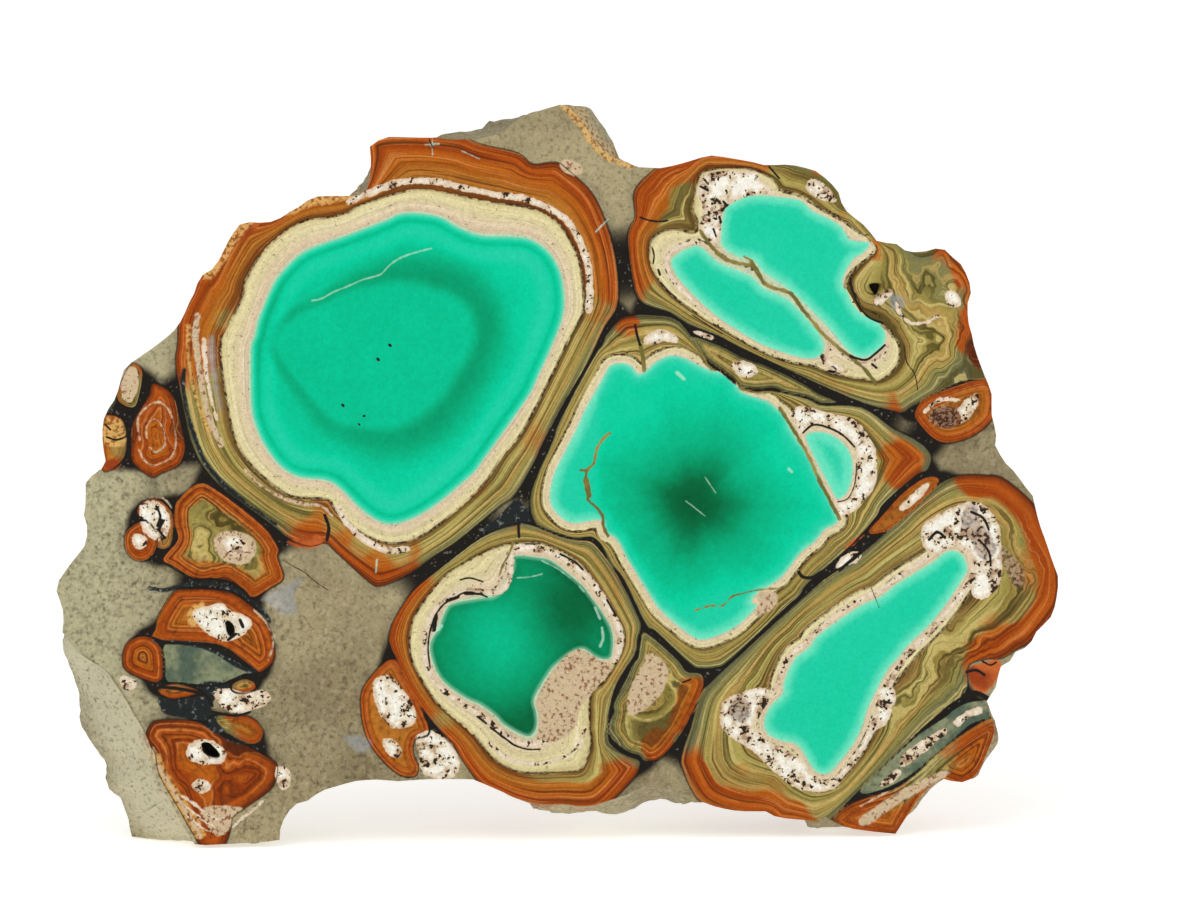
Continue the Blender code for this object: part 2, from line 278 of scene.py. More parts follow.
LOWER_MIDDLE = Nodule(
    rim=(
        (514, 525), (528, 524), (559, 536), (574, 540), (589, 541), (599, 549), (618, 576), (638, 616),
        (641, 628), (638, 639), (635, 655), (619, 680), (611, 703), (608, 737), (615, 749), (628, 757),
        (639, 761), (640, 768), (633, 781), (606, 808), (590, 814), (561, 811), (533, 810), (495, 794),
        (476, 781), (453, 747), (432, 722), (411, 693), (400, 668), (389, 643), (390, 630), (396, 616),
        (413, 591), (438, 570), (482, 537),
    ),
    bed=(
        (534, 542), (553, 547), (574, 558), (590, 574), (620, 622), (625, 639), (621, 655), (605, 682),
        (592, 693), (590, 725), (592, 741), (588, 758), (580, 771), (564, 773), (526, 774), (505, 768),
        (488, 755), (472, 735), (443, 710), (432, 698), (414, 668), (409, 650), (410, 630), (416, 612),
        (440, 580), (458, 566), (495, 547),
    ),
    cores=((
        (514, 556), (540, 558), (553, 562), (578, 582), (588, 593), (611, 628), (612, 655), (605, 660),
        (595, 657), (580, 649), (557, 664), (547, 676), (534, 699), (536, 712), (537, 724), (534, 733),
        (526, 737), (505, 726), (495, 716), (480, 705), (463, 697), (440, 678), (430, 651), (433, 637),
        (438, 630), (446, 610), (455, 603), (484, 598), (493, 597), (501, 591), (513, 568),
    ),),
    core=Core.DEEP,
    rust=0.15,
    rust_reach=30.0,
    beaded=True,
    spots=((600, 735, 26, -0.8), (616, 780, 22, 1.0), (470, 590, 30, -0.4), (452, 560, 34, -0.9),
           (492, 538, 34, -1.1), (400, 650, 36, 0.9), (420, 700, 26, 0.8)),
)
LOWER_RIGHT = Nodule(
    rim=(
        (700, 697), (712, 682), (742, 654), (809, 593), (833, 574), (855, 560), (895, 525), (915, 505),
        (943, 482), (962, 475), (987, 475), (1004, 478), (1029, 498), (1041, 514), (1060, 552),
        (1066, 577), (1066, 593), (1060, 612), (1034, 642), (1019, 650), (1004, 659), (987, 660),
        (970, 667), (968, 693), (951, 706), (916, 737), (860, 793), (833, 820), (818, 829), (796, 826),
        (777, 825), (769, 818), (740, 818), (702, 805), (683, 771), (682, 755), (691, 728),
    ),
    cores=((
        (953, 551), (963, 555), (968, 567), (965, 577), (937, 618), (910, 645), (898, 660), (887, 673),
        (869, 709), (863, 728), (853, 747), (839, 765), (828, 775), (815, 771), (799, 747), (780, 741),
        (767, 733), (765, 720), (772, 706), (783, 695), (785, 682), (795, 660), (810, 648), (820, 635),
        (860, 607), (880, 598), (900, 583), (933, 563), (943, 555),
    ),),
    cream=14.0,
    core=Core.EVEN,
    rust_reach=25.0,
    beaded=True,
    spots=((935, 680, 60, -1.4), (1040, 570, 34, 0.8), (745, 800, 60, 0.5), (800, 640, 50, -0.8),
           (1000, 640, 26, 0.9), (980, 668, 24, 1.0), (870, 560, 44, -1.2), (765, 648, 44, -1.2),
           (825, 600, 46, -1.3), (712, 700, 24, -0.8)),
)
NODULES: tuple[Nodule, ...] = (
    BIG_LEFT,
    UPPER_RIGHT,
    MIDDLE,
    LOWER_MIDDLE,
    LOWER_RIGHT,
    SMALL_RIGHT,
    LENS,
    Nodule(
        rim=(
            (644, 632), (656, 640), (679, 661), (687, 672), (701, 674), (704, 687), (691, 717),
            (680, 737), (661, 759), (645, 762), (640, 757), (626, 752), (612, 740), (609, 732),
            (610, 722), (614, 712), (614, 703), (625, 681), (634, 663), (638, 657), (641, 637),
        ),
        rind=20.0,
        rust=-1.0,
        spots=((695, 690, 20, 1.8), (682, 722, 18, 1.8), (657, 748, 22, 2.0), (690, 706, 18, 1.8)),
    ),
    Nodule(
        rim=(
            (385, 662), (395, 660), (402, 672), (412, 692), (429, 731), (415, 740), (413, 754),
            (418, 768), (413, 778), (393, 772), (367, 740), (360, 700), (368, 680),
        ),
        rind=16.0,
        rust=1.0,
    ),
    Nodule(
        rim=(
            (153, 384), (163, 386), (171, 392), (177, 402), (185, 438), (186, 450), (180, 465),
            (163, 473), (152, 477), (134, 463), (132, 448), (134, 423), (150, 396),
        ),
        rind=46.0,
        rust=1.0,
    ),
    Nodule(
        rim=(
            (133, 364), (142, 368), (144, 377), (139, 402), (132, 408), (119, 400), (122, 384),
        ),
        rind=4.0,
        cream=12.0,
        inside=Inside.CREAM,
        rust=-0.2,
    ),
    Nodule(
        rim=(
            (104, 416), (114, 415), (124, 420), (128, 432), (128, 446), (124, 460), (106, 472),
            (101, 455), (101, 430),
        ),
        rind=14.0,
        rust=0.4,
    ),
    Nodule(
        rim=(
            (142, 521), (150, 524), (156, 532), (158, 543), (154, 554), (146, 560), (136, 560),
            (128, 553), (125, 542), (128, 530),
        ),
        rind=40.0,
        rust=1.0,
    ),
    Nodule(
        rim=(
            (150, 499), (160, 500), (169, 507), (174, 517), (173, 541), (166, 549), (158, 547),
            (158, 538), (152, 524), (138, 514), (141, 504),
        ),
        rind=10.0,
        rust=0.5,
    ),
    Nodule(
        rim=(
            (200, 483), (221, 492), (263, 525), (279, 548), (278, 557), (284, 578), (271, 588),
            (253, 598), (244, 590), (232, 582), (213, 578), (194, 578), (175, 567), (163, 559),
            (178, 540), (175, 525), (175, 509), (180, 498),
        ),
        rind=24.0,
        inside=Inside.OLIVE,
        rust=1.0,
    ),
    Nodule(
        rim=(
            (152, 636), (155, 630), (159, 615), (173, 593), (186, 589), (221, 590), (240, 597),
            (267, 622), (275, 657), (259, 673), (248, 665), (219, 645), (171, 642),
        ),
        rind=34.0,
        rust=1.0,
    ),
    Nodule(
        rim=(
            (123, 653), (128, 642), (140, 636), (152, 638), (162, 650), (163, 676), (157, 683),
            (140, 678), (128, 672), (123, 665),
        ),
        rind=30.0,
        rust=1.0,
    ),
    Nodule(
        rim=(
            (164, 645), (178, 644), (194, 643), (209, 647), (255, 672), (244, 674), (221, 684),
            (202, 685), (175, 682), (166, 680), (165, 662),
        ),
        rind=40.0,
        inside=Inside.SLATE,
    ),
    Nodule(
        rim=((157, 690), (165, 685), (180, 684), (200, 692), (176, 699), (163, 696)),
        rind=20.0,
        rust=0.6,
    ),
    Nodule(
        rim=(
            (207, 722), (215, 716), (230, 714), (246, 716), (257, 722), (263, 733), (258, 743),
            (245, 744), (228, 735), (214, 730),
        ),
        rind=16.0,
        rust=0.5,
        spots=((215, 723, 16, -1.0), (252, 732, 14, 0.8)),
    ),
    Nodule(
        rim=(
            (146, 740), (148, 728), (159, 720), (200, 722), (225, 738), (244, 745), (273, 761),
            (277, 770), (274, 784), (267, 793), (244, 809), (232, 818), (230, 830), (222, 849),
            (203, 850), (190, 830), (180, 812), (159, 775), (155, 753),
        ),
        rind=75.0,
        rust=1.0,
    ),
    Nodule(
        rim=(
            (861, 792), (882, 771), (920, 736), (944, 720), (963, 706), (987, 701), (999, 706),
            (996, 717), (974, 725), (958, 738), (909, 779), (872, 795),
        ),
        rind=14.0,
        inside=Inside.SLATE,
    ),
    Nodule(
        rim=(
            (834, 819), (850, 806), (869, 798), (896, 790), (920, 773), (936, 757), (963, 736),
            (995, 718), (1004, 728), (999, 749), (988, 775), (970, 790), (958, 790), (944, 786),
            (932, 793), (910, 828), (902, 842), (877, 840), (855, 836), (838, 830),
        ),
        rind=40.0,
        rust=0.5,
        spots=((870, 815, 30, 0.5), (985, 750, 26, 0.7), (930, 775, 24, -0.7), (905, 800, 20, -0.2)),
    ),
    Nodule(
        rim=(
            (868, 533), (883, 515), (898, 498), (913, 485), (927, 477), (937, 477), (940, 482),
            (930, 493), (917, 508), (900, 523), (883, 533),
        ),
        rind=7.0,
        cream=8.0,
        rust=1.0,
    ),
    Nodule(
        rim=((232, 684), (244, 679), (254, 682), (255, 689), (244, 693), (233, 691)),
        rind=10.0,
        rust=0.2,
    ),
)


@dataclass(frozen=True)
class Markings:
    """What crosses or fills the nodules: patches and lines as drawn."""

    chalk: tuple[Mark, ...] = (
        Mark(((350, 203), (362, 197), (375, 192), (391, 186), (410, 182), (420, 182), (439, 183),
              (466, 189), (493, 195), (518, 198), (537, 204), (554, 212), (568, 222), (578, 238),
              (584, 252), (589, 270), (590, 290), (589, 310)), 7.0),
        Mark(((338, 508), (348, 524), (362, 538), (380, 548), (395, 551), (406, 549)), 6.5),
        Mark(((205, 340), (206, 360), (209, 382), (213, 402), (218, 420)), 4.0),
        Mark(((696, 193), (704, 176), (719, 172), (754, 172), (760, 180), (773, 193), (742, 198),
              (723, 213), (721, 230), (717, 243), (708, 242), (700, 232), (702, 207))),
        Mark(((696, 243), (682, 245), (671, 253), (666, 264), (674, 281), (688, 297), (702, 310)), 4.0),
        Mark(((820, 352), (828, 358), (838, 364), (848, 372), (838, 374), (824, 366))),
        Mark(((874, 300), (882, 292), (890, 288), (893, 293), (886, 301), (878, 306))),
        Mark(((896, 303), (902, 316), (912, 323), (927, 322), (938, 316)), 4.0),
        Mark(((808, 181), (818, 181), (836, 198), (832, 203), (812, 196), (806, 189))),
        Mark(((945, 294), (952, 291), (960, 297), (960, 306), (950, 307))),
        Mark(((958, 408), (977, 393), (979, 402), (972, 416), (956, 427), (962, 418))),
        Mark(((926, 412), (933, 404), (944, 399), (958, 400)), 3.5),
        Mark(((641, 342), (658, 329), (678, 338), (676, 344), (664, 341), (652, 345))),
        Mark(((731, 366), (741, 361), (754, 364), (758, 373), (748, 378), (738, 374))),
        Mark(((792, 412), (804, 406), (843, 416), (857, 421), (876, 449), (877, 477), (870, 495),
              (842, 520), (837, 502), (848, 500), (855, 486), (855, 447), (827, 427), (813, 425),
              (801, 436), (794, 424))),
        Mark(((514, 549), (530, 548), (551, 553), (572, 564), (588, 578), (600, 594), (611, 612),
              (619, 628), (620, 645), (616, 658)), 7.0),
        Mark(((500, 592), (508, 582), (511, 566), (512, 556)), 6.5),
        Mark(((424, 655), (428, 673), (440, 688), (458, 702), (478, 714), (494, 727), (510, 740),
              (528, 745), (545, 743)), 6.0),
        Mark(((424, 655), (424, 640), (427, 624), (436, 608), (448, 597), (466, 590), (480, 590),
              (494, 594), (503, 587)), 3.5),
        Mark(((488, 743), (505, 758), (525, 764), (545, 764), (566, 757), (580, 744), (585, 728)), 4.0),
        Mark(((922, 530), (933, 518), (965, 503), (985, 505), (998, 520), (1003, 545), (1003, 575),
              (996, 592), (980, 600), (972, 590), (975, 570), (970, 553), (955, 546), (936, 555),
              (925, 548))),
        Mark(((730, 698), (762, 688), (772, 696), (762, 708), (755, 722), (760, 735), (802, 760),
              (812, 774), (828, 783), (842, 779), (838, 790), (820, 794), (800, 790), (780, 778),
              (752, 752), (726, 734), (720, 718))),
        Mark(((880, 690), (890, 686), (897, 696), (893, 712), (886, 726), (876, 730), (878, 712))),
        Mark(((972, 560), (972, 580), (960, 598), (944, 618), (925, 640), (905, 660), (892, 683),
              (880, 710), (872, 732), (860, 754), (843, 775), (828, 786), (810, 782), (800, 768)), 6.0),
        Mark(((760, 715), (768, 700), (778, 686), (782, 670), (792, 654), (810, 640), (835, 616),
              (860, 600), (885, 588), (905, 573), (928, 557), (945, 548)), 5.0),
        Mark(((373, 682), (390, 676), (413, 705), (415, 722), (405, 729), (392, 728), (380, 715),
              (374, 700))),
        Mark(((382, 741), (392, 740), (401, 750), (398, 759), (388, 755))),
        Mark(((415, 738), (428, 731), (445, 738), (456, 752), (460, 768), (450, 780), (432, 779),
              (420, 770), (418, 752))),
        Mark(((140, 506), (152, 500), (163, 505), (170, 516), (170, 530), (162, 541), (150, 536),
              (142, 524))),
        Mark(((222, 540), (234, 535), (245, 541), (248, 550), (240, 557), (229, 554))),
        Mark(((194, 611), (221, 603), (232, 611), (248, 618), (250, 628), (227, 642), (201, 628))),
        Mark(((213, 694), (228, 688), (245, 693), (262, 690), (271, 698), (262, 707), (232, 714))),
        Mark(((120, 677), (130, 676), (137, 683), (131, 690), (122, 688))),
        Mark(((275, 770), (283, 767), (290, 774), (288, 788), (280, 790), (276, 782))),
        Mark(((186, 755), (190, 744), (202, 739), (215, 742), (226, 752), (222, 762), (208, 765),
              (194, 762))),
        Mark(((190, 786), (196, 780), (205, 781), (211, 787), (205, 793), (195, 792))),
        Mark(((900, 508), (910, 497), (922, 486), (930, 483), (926, 492), (914, 504), (904, 511))),
        Mark(((835, 567), (842, 558), (852, 552), (862, 553), (860, 561), (849, 566), (840, 570))),
        Mark(((902, 760), (915, 748), (944, 730), (948, 735), (935, 746), (906, 768))),
        Mark(((955, 722), (968, 712), (982, 708), (984, 714), (970, 720), (960, 728))),
        Mark(((880, 788), (890, 777), (900, 770), (902, 776), (892, 785))),
        Mark(((132, 540), (138, 533), (146, 538), (147, 546), (139, 549))),
        Mark(((692, 332), (698, 330), (706, 333), (714, 337), (711, 340), (702, 338))),
        Mark(((481, 134), (486, 127), (498, 122), (514, 120), (510, 124), (497, 128), (490, 135))),
        Mark(((182, 797), (192, 803), (203, 812), (212, 818), (222, 820)), 2.4),
        Mark(((184, 806), (194, 814), (204, 822), (214, 827)), 2.0),
        Mark(((187, 816), (197, 825), (206, 831), (215, 833)), 2.0),
        Mark(((232, 828), (243, 818), (256, 808), (262, 802)), 3.0),
    )
    pink: tuple[Mark, ...] = (
        Mark(((199, 316), (197, 340), (200, 368), (205, 395), (211, 420), (222, 444)), 6.5),
        Mark(((246, 470), (262, 486), (284, 498), (304, 504), (322, 506), (332, 516)), 3.0),
        Mark(((141, 440), (139, 420), (148, 407), (160, 402), (170, 410), (175, 424), (177, 444),
              (171, 458), (157, 465), (146, 461), (140, 450)), 1.5),
        Mark(((148, 438), (148, 426), (156, 419), (164, 428), (166, 444), (158, 452), (150, 447)), 1.1),
        Mark(((214, 538), (230, 530), (250, 535), (257, 548), (248, 563), (228, 562), (216, 552))),
        Mark(((200, 812), (214, 806), (242, 808), (234, 818), (228, 832), (214, 836))),
        Mark(((152, 748), (160, 770), (175, 795), (190, 820), (200, 838)), 4.0),
        Mark(((268, 660), (274, 640), (266, 622), (254, 610)), 2.0),
        Mark(((150, 498), (164, 498), (172, 508)), 1.4),
        Mark(((862, 808), (884, 796), (906, 784)), 1.6),
        Mark(((580, 649), (600, 661), (608, 662), (613, 668), (605, 679), (581, 708), (578, 722),
              (571, 734), (560, 741), (548, 744), (538, 740), (538, 715), (536, 700), (558, 664))),
        Mark(((757, 595), (768, 591), (777, 594), (777, 605), (768, 613), (757, 616), (753, 611),
              (760, 606))),
        Mark(((962, 512), (975, 508), (988, 516), (990, 540), (985, 562), (975, 562), (968, 545),
              (960, 530))),
        Mark(((650, 653), (658, 656), (668, 670), (663, 692), (648, 708), (630, 716), (628, 696),
              (644, 660))),
        Mark(((722, 704), (735, 697), (748, 702), (752, 716), (745, 728), (733, 726), (724, 716))),
        Mark(((122, 380), (129, 367), (139, 371), (140, 386), (134, 401), (125, 400))),
        Mark(((560, 164), (570, 160), (581, 166), (583, 174), (574, 177), (563, 172))),
        Mark(((860, 822), (880, 806), (922, 782), (946, 772), (950, 777), (905, 803), (868, 828))),
    )
    vein: tuple[Mark, ...] = (
        Mark(((700, 231), (710, 245), (723, 258), (735, 263), (746, 265), (754, 268), (763, 282),
              (773, 288), (785, 291), (794, 297), (802, 309), (813, 322), (823, 334), (840, 349),
              (855, 360), (868, 373), (876, 384)), 3.6),
        Mark(((744, 257), (752, 262), (762, 278)), 2.6),
        Mark(((780, 408), (790, 424), (801, 442), (812, 463), (820, 481), (830, 500), (840, 519)), 3.6),
        Mark(((610, 433), (603, 439), (597, 449), (594, 463), (587, 470), (586, 479), (588, 491),
              (588, 500), (596, 507), (603, 516), (603, 526), (608, 536)), 2.6),
        Mark(((580, 470), (587, 471)), 2.2),
        Mark(((586, 480), (589, 496)), 5.5),
        Mark(((640, 345), (643, 358), (644, 371)), 3.6),
        Mark(((513, 542), (510, 552), (503, 565), (499, 576)), 1.8),
        Mark(((695, 611), (711, 606), (723, 606), (732, 597), (742, 594), (760, 590), (778, 589),
              (790, 585), (799, 578)), 1.6),
    )
    crack: tuple[Mark, ...] = (
        Mark(((640, 218), (650, 221), (660, 222), (667, 221)), 2.0),
        Mark(((850, 356), (865, 360), (875, 354), (885, 345)), 2.4),
        Mark(((850, 278), (853, 292), (860, 308), (870, 318), (883, 323)), 2.2),
        Mark(((904, 345), (907, 362), (915, 374), (918, 390)), 1.1),
        Mark(((652, 248), (654, 256), (653, 264)), 1.8),
        Mark(((661, 283), (668, 291), (676, 298)), 1.6),
        Mark(((658, 270), (660, 275)), 2.4),
        Mark(((692, 315), (706, 324), (722, 334)), 1.2),
        Mark(((829, 371), (834, 372)), 3.0),
        Mark(((872, 364), (877, 368)), 2.6),
        Mark(((803, 433), (813, 425), (827, 427), (843, 435), (855, 447)), 2.2),
        Mark(((857, 463), (856, 478), (854, 488), (848, 499), (838, 502)), 1.2),
        Mark(((799, 572), (803, 577), (812, 578), (822, 572)), 3.4),
        Mark(((518, 520), (519, 537)), 3.0),
        Mark(((325, 515), (329, 528), (327, 540)), 3.4),
        Mark(((460, 580), (470, 578), (483, 582)), 1.8),
        Mark(((430, 668), (428, 652), (429, 636), (434, 618), (444, 604), (456, 597), (466, 592),
              (478, 594), (487, 597)), 1.8),
        Mark(((436, 616), (434, 630)), 4.0),
        Mark(((447, 601), (458, 597)), 3.4),
        Mark(((466, 594), (482, 594)), 2.4),
        Mark(((477, 717), (486, 724)), 2.4),
        Mark(((490, 728), (502, 737), (514, 746)), 2.2),
        Mark(((514, 746), (527, 750), (540, 750)), 1.8),
        Mark(((560, 554), (575, 562), (583, 570)), 2.2),
        Mark(((607, 600), (616, 616)), 2.2),
        Mark(((525, 544), (540, 544)), 1.2),
        Mark(((640, 345), (637, 335), (635, 325)), 2.6),
        Mark(((683, 683), (691, 680)), 2.0),
        Mark(((840, 571), (852, 560), (866, 548)), 3.0),
        Mark(((965, 697), (978, 694), (990, 700)), 5.0),
        Mark(((283, 560), (293, 566), (304, 572), (316, 582), (328, 590)), 0.8),
        Mark(((151, 556), (160, 560), (180, 572), (200, 582)), 1.6),
        Mark(((176, 642), (200, 645), (222, 650), (240, 660)), 2.2),
        Mark(((160, 687), (180, 689), (205, 695), (212, 706)), 3.4),
        Mark(((212, 712), (235, 716), (250, 712)), 2.6),
        Mark(((870, 285), (880, 285), (877, 296), (872, 292))),
        Mark(((201, 744), (208, 743), (215, 749), (220, 756), (216, 759), (208, 757), (203, 752))),
        Mark(((226, 622), (232, 623), (235, 630), (231, 637), (227, 633))),
        Mark(((430, 141), (434, 150)), 1.2),
        Mark(((498, 124), (512, 121)), 2.6),
        Mark(((390, 345), (391, 346)), 3.2),
        Mark(((378, 359), (379, 360)), 3.2),
        Mark(((343, 405), (344, 406)), 3.0),
        Mark(((364, 416), (365, 416)), 2.4),
        Mark(((359, 424), (360, 425)), 1.6),
        Mark(((157, 506), (161, 516), (158, 526)), 2.6),
        Mark(((165, 520), (160, 530), (166, 538)), 2.6),
        Mark(((240, 620), (243, 627)), 3.6),
        Mark(((228, 640), (236, 634)), 3.0),
        Mark(((972, 512), (984, 518), (990, 530)), 2.6),
        Mark(((980, 540), (990, 552), (992, 566)), 2.4),
        Mark(((930, 540), (938, 532), (946, 538)), 3.0),
        Mark(((700, 187), (708, 191)), 2.6),
        Mark(((723, 202), (727, 206)), 2.4),
        Mark(((719, 217), (721, 223)), 2.4),
        Mark(((713, 229), (716, 237)), 2.2),
        Mark(((765, 163), (772, 171), (779, 179)), 1.8),
        Mark(((128, 436), (118, 440), (108, 437)), 2.0),
        Mark(((106, 424), (112, 430)), 2.0),
        Mark(((872, 588), (876, 598), (880, 608)), 0.8),
        Mark(((968, 673), (978, 671), (986, 676)), 3.0),
        Mark(((984, 662), (992, 666), (998, 663)), 2.0),
    )
    # Pale lines: light scratches, and painted glints on the crystals along the lower middle nodule's rim and
    # in the dark cavity beside it.
    pale: tuple[Mark, ...] = (
        Mark(((313, 301), (323, 299), (333, 293), (348, 287), (364, 280), (381, 275), (391, 265),
              (402, 258), (420, 252), (432, 249)), 1.5),
        Mark(((686, 501), (705, 516)), 1.0),
        Mark(((705, 477), (716, 493)), 0.7),
        Mark(((677, 373), (684, 379)), 4.0),
        Mark(((789, 469), (792, 472)), 3.0),
        Mark(((542, 561), (556, 568), (570, 578)), 1.0),
        Mark(((579, 586), (584, 592)), 1.2),
        Mark(((595, 608), (600, 619)), 2.4),
        Mark(((602, 628), (603, 639), (600, 647)), 2.6),
        Mark(((437, 630), (441, 626)), 4.0),
        Mark(((517, 578), (530, 577), (542, 574)), 1.2),
        Mark(((596, 232), (603, 225), (608, 220)), 1.6),
        Mark(((377, 560), (376, 572)), 1.6),
        Mark(((433, 138), (433, 156)), 1.2),
        Mark(((426, 146), (440, 145)), 1.2),
        Mark(((462, 152), (480, 160)), 1.0),
    )
    slate: tuple[Mark, ...] = (
        Mark(((213, 338), (213, 360), (216, 385), (221, 408)), 6.0),
        Mark(((887, 296), (898, 293), (906, 300), (903, 309), (892, 311))),
        Mark(((262, 598), (292, 580), (304, 578), (296, 594), (298, 612), (284, 616), (272, 606))),
        Mark(((342, 738), (356, 734), (372, 744), (362, 754), (350, 748))),
        Mark(((130, 748), (142, 742), (152, 752), (150, 768), (156, 784), (146, 776), (136, 764))),
    )
    umber: tuple[Mark, ...] = (
        Mark(((930, 413), (940, 407), (954, 408), (960, 417), (954, 427), (940, 428), (931, 421))),
        Mark(((735, 700), (746, 700), (751, 710), (748, 721), (738, 722), (731, 712))),
        Mark(((966, 508), (978, 507), (980, 520), (997, 546), (990, 558), (980, 556), (974, 542),
              (964, 534), (962, 520))),
        Mark(((1004, 548), (1012, 556), (1022, 566), (1026, 582), (1018, 588), (1010, 574), (1002, 560))),
    )
    ochre: tuple[Mark, ...] = (
        Mark(((440, 128), (470, 122), (490, 113), (512, 106), (534, 100), (552, 94)), 22.0),
        Mark(((562, 100), (574, 112), (586, 128), (597, 144), (610, 155), (630, 162)), 15.0),
        Mark(((190, 326), (189, 350), (193, 380), (201, 410), (210, 430)), 5.0),
        Mark(((203, 274), (222, 246), (230, 230), (242, 219), (260, 219), (241, 240), (224, 266),
              (212, 280))),
        Mark(((284, 215), (320, 194), (360, 194), (350, 201), (310, 209), (296, 215))),
        Mark(((104, 418), (114, 416), (124, 421), (128, 434), (126, 446), (116, 448), (104, 444))),
        Mark(((150, 750), (160, 754), (168, 772), (194, 814), (206, 834), (196, 840), (184, 822),
              (158, 776))),
        Mark(((187, 612), (196, 604), (206, 600), (202, 612), (196, 626), (190, 628))),
    )
    dark: tuple[Mark, ...] = (
        Mark(((158, 640), (205, 642), (240, 658), (262, 676), (236, 668), (206, 650), (158, 643))),
        Mark(((158, 680), (166, 684), (160, 692), (168, 699), (200, 697), (204, 692), (196, 686),
              (210, 681), (232, 685), (222, 692), (214, 700), (212, 710), (226, 716), (240, 712),
              (236, 716), (216, 716), (222, 728), (236, 738), (262, 750), (228, 741), (194, 721),
              (162, 712))),
        Mark(((186, 370), (184, 384), (188, 412), (196, 438), (206, 462), (222, 482), (240, 498), (262, 514),
              (276, 524)), 5.0),
        Mark(((150, 588), (165, 590), (180, 586), (200, 583), (224, 586), (246, 596), (262, 610),
              (270, 622)), 4.0),
        Mark(((132, 416), (131, 432), (131, 450)), 3.0),
        Mark(((478, 532), (494, 520), (508, 506), (519, 500), (536, 523), (520, 525))),
    )
    facet: tuple[Mark, ...] = (
        Mark(((50, 636), (66, 640), (78, 652), (108, 673), (130, 706), (152, 752), (190, 822),
              (196, 845), (180, 870), (120, 860), (60, 740))),
    )
    swirls: tuple[tuple[float, float, float], ...] = (
        (925, 300, 46), (950, 345, 40), (960, 660, 46), (1010, 560, 40), (900, 690, 36), (620, 345, 16),
        (220, 550, 40), (235, 625, 26), (650, 690, 28), (745, 700, 22), (600, 735, 26), (470, 585, 30),
        (860, 225, 22), (700, 175, 26), (440, 760, 24), (215, 770, 40), (160, 430, 30),
    )
    rust: tuple[Mark, ...] = (
        Mark(((846, 549), (854, 542), (862, 536)), 4.0),
        Mark(((966, 671), (984, 664), (1000, 660), (1003, 672), (994, 688), (980, 694))),
        Mark(((286, 543), (300, 548), (316, 547), (324, 540), (318, 534), (300, 536))),
        Mark(((104, 462), (112, 458), (122, 462), (118, 470), (108, 470))),
        Mark(((210, 268), (222, 250), (240, 226), (262, 221), (256, 232), (238, 246), (226, 262))),
    )


@dataclass(frozen=True)
class Pit:
    """A small hollow in the face, as drawn, and its depth in metres."""

    points: Points
    depth: float


PITS: tuple[Pit, ...] = (
    Pit(((201, 744), (208, 743), (215, 749), (221, 756), (216, 760), (208, 758), (203, 752)), 3.5 * MM),
    Pit(((225, 621), (232, 622), (236, 630), (231, 638), (226, 633)), 2.0 * MM),
    Pit(((868, 284), (884, 284), (877, 300), (871, 294)), 2.6 * MM),
    Pit(((932, 413), (942, 407), (954, 409), (959, 418), (953, 426), (941, 427), (933, 420)), 1.6 * MM),
    Pit(((730, 705), (742, 702), (750, 710), (746, 722), (736, 724), (729, 715)), 1.2 * MM),
)


@dataclass(frozen=True)
class Bulge:
    """A place where the broken side stands out more, as drawn, in metres right and up."""

    x: float
    y: float
    radius: float
    right: float
    up: float


BULGES: tuple[Bulge, ...] = (
    Bulge(70, 690, 62, -1.8 * MM, 0.0),
    Bulge(100, 765, 62, -2.2 * MM, 0.0),
    Bulge(135, 825, 56, -2.0 * MM, 0.0),
    Bulge(290, 820, 40, 0.8 * MM, 0.0),
    Bulge(380, 775, 80, 0.0, -0.7 * MM),
    Bulge(540, 815, 70, 0.0, -1.9 * MM),
    Bulge(650, 812, 66, 0.0, -2.2 * MM),
    Bulge(745, 822, 60, 0.0, -1.2 * MM),
    Bulge(935, 800, 54, 2.4 * MM, -1.0 * MM),
    Bulge(1000, 725, 50, 1.7 * MM, 0.0),
    Bulge(985, 768, 44, 2.0 * MM, 0.0),
    Bulge(1030, 650, 44, 0.9 * MM, -0.4 * MM),
    Bulge(600, 132, 42, 1.7 * MM, 1.4 * MM),
)


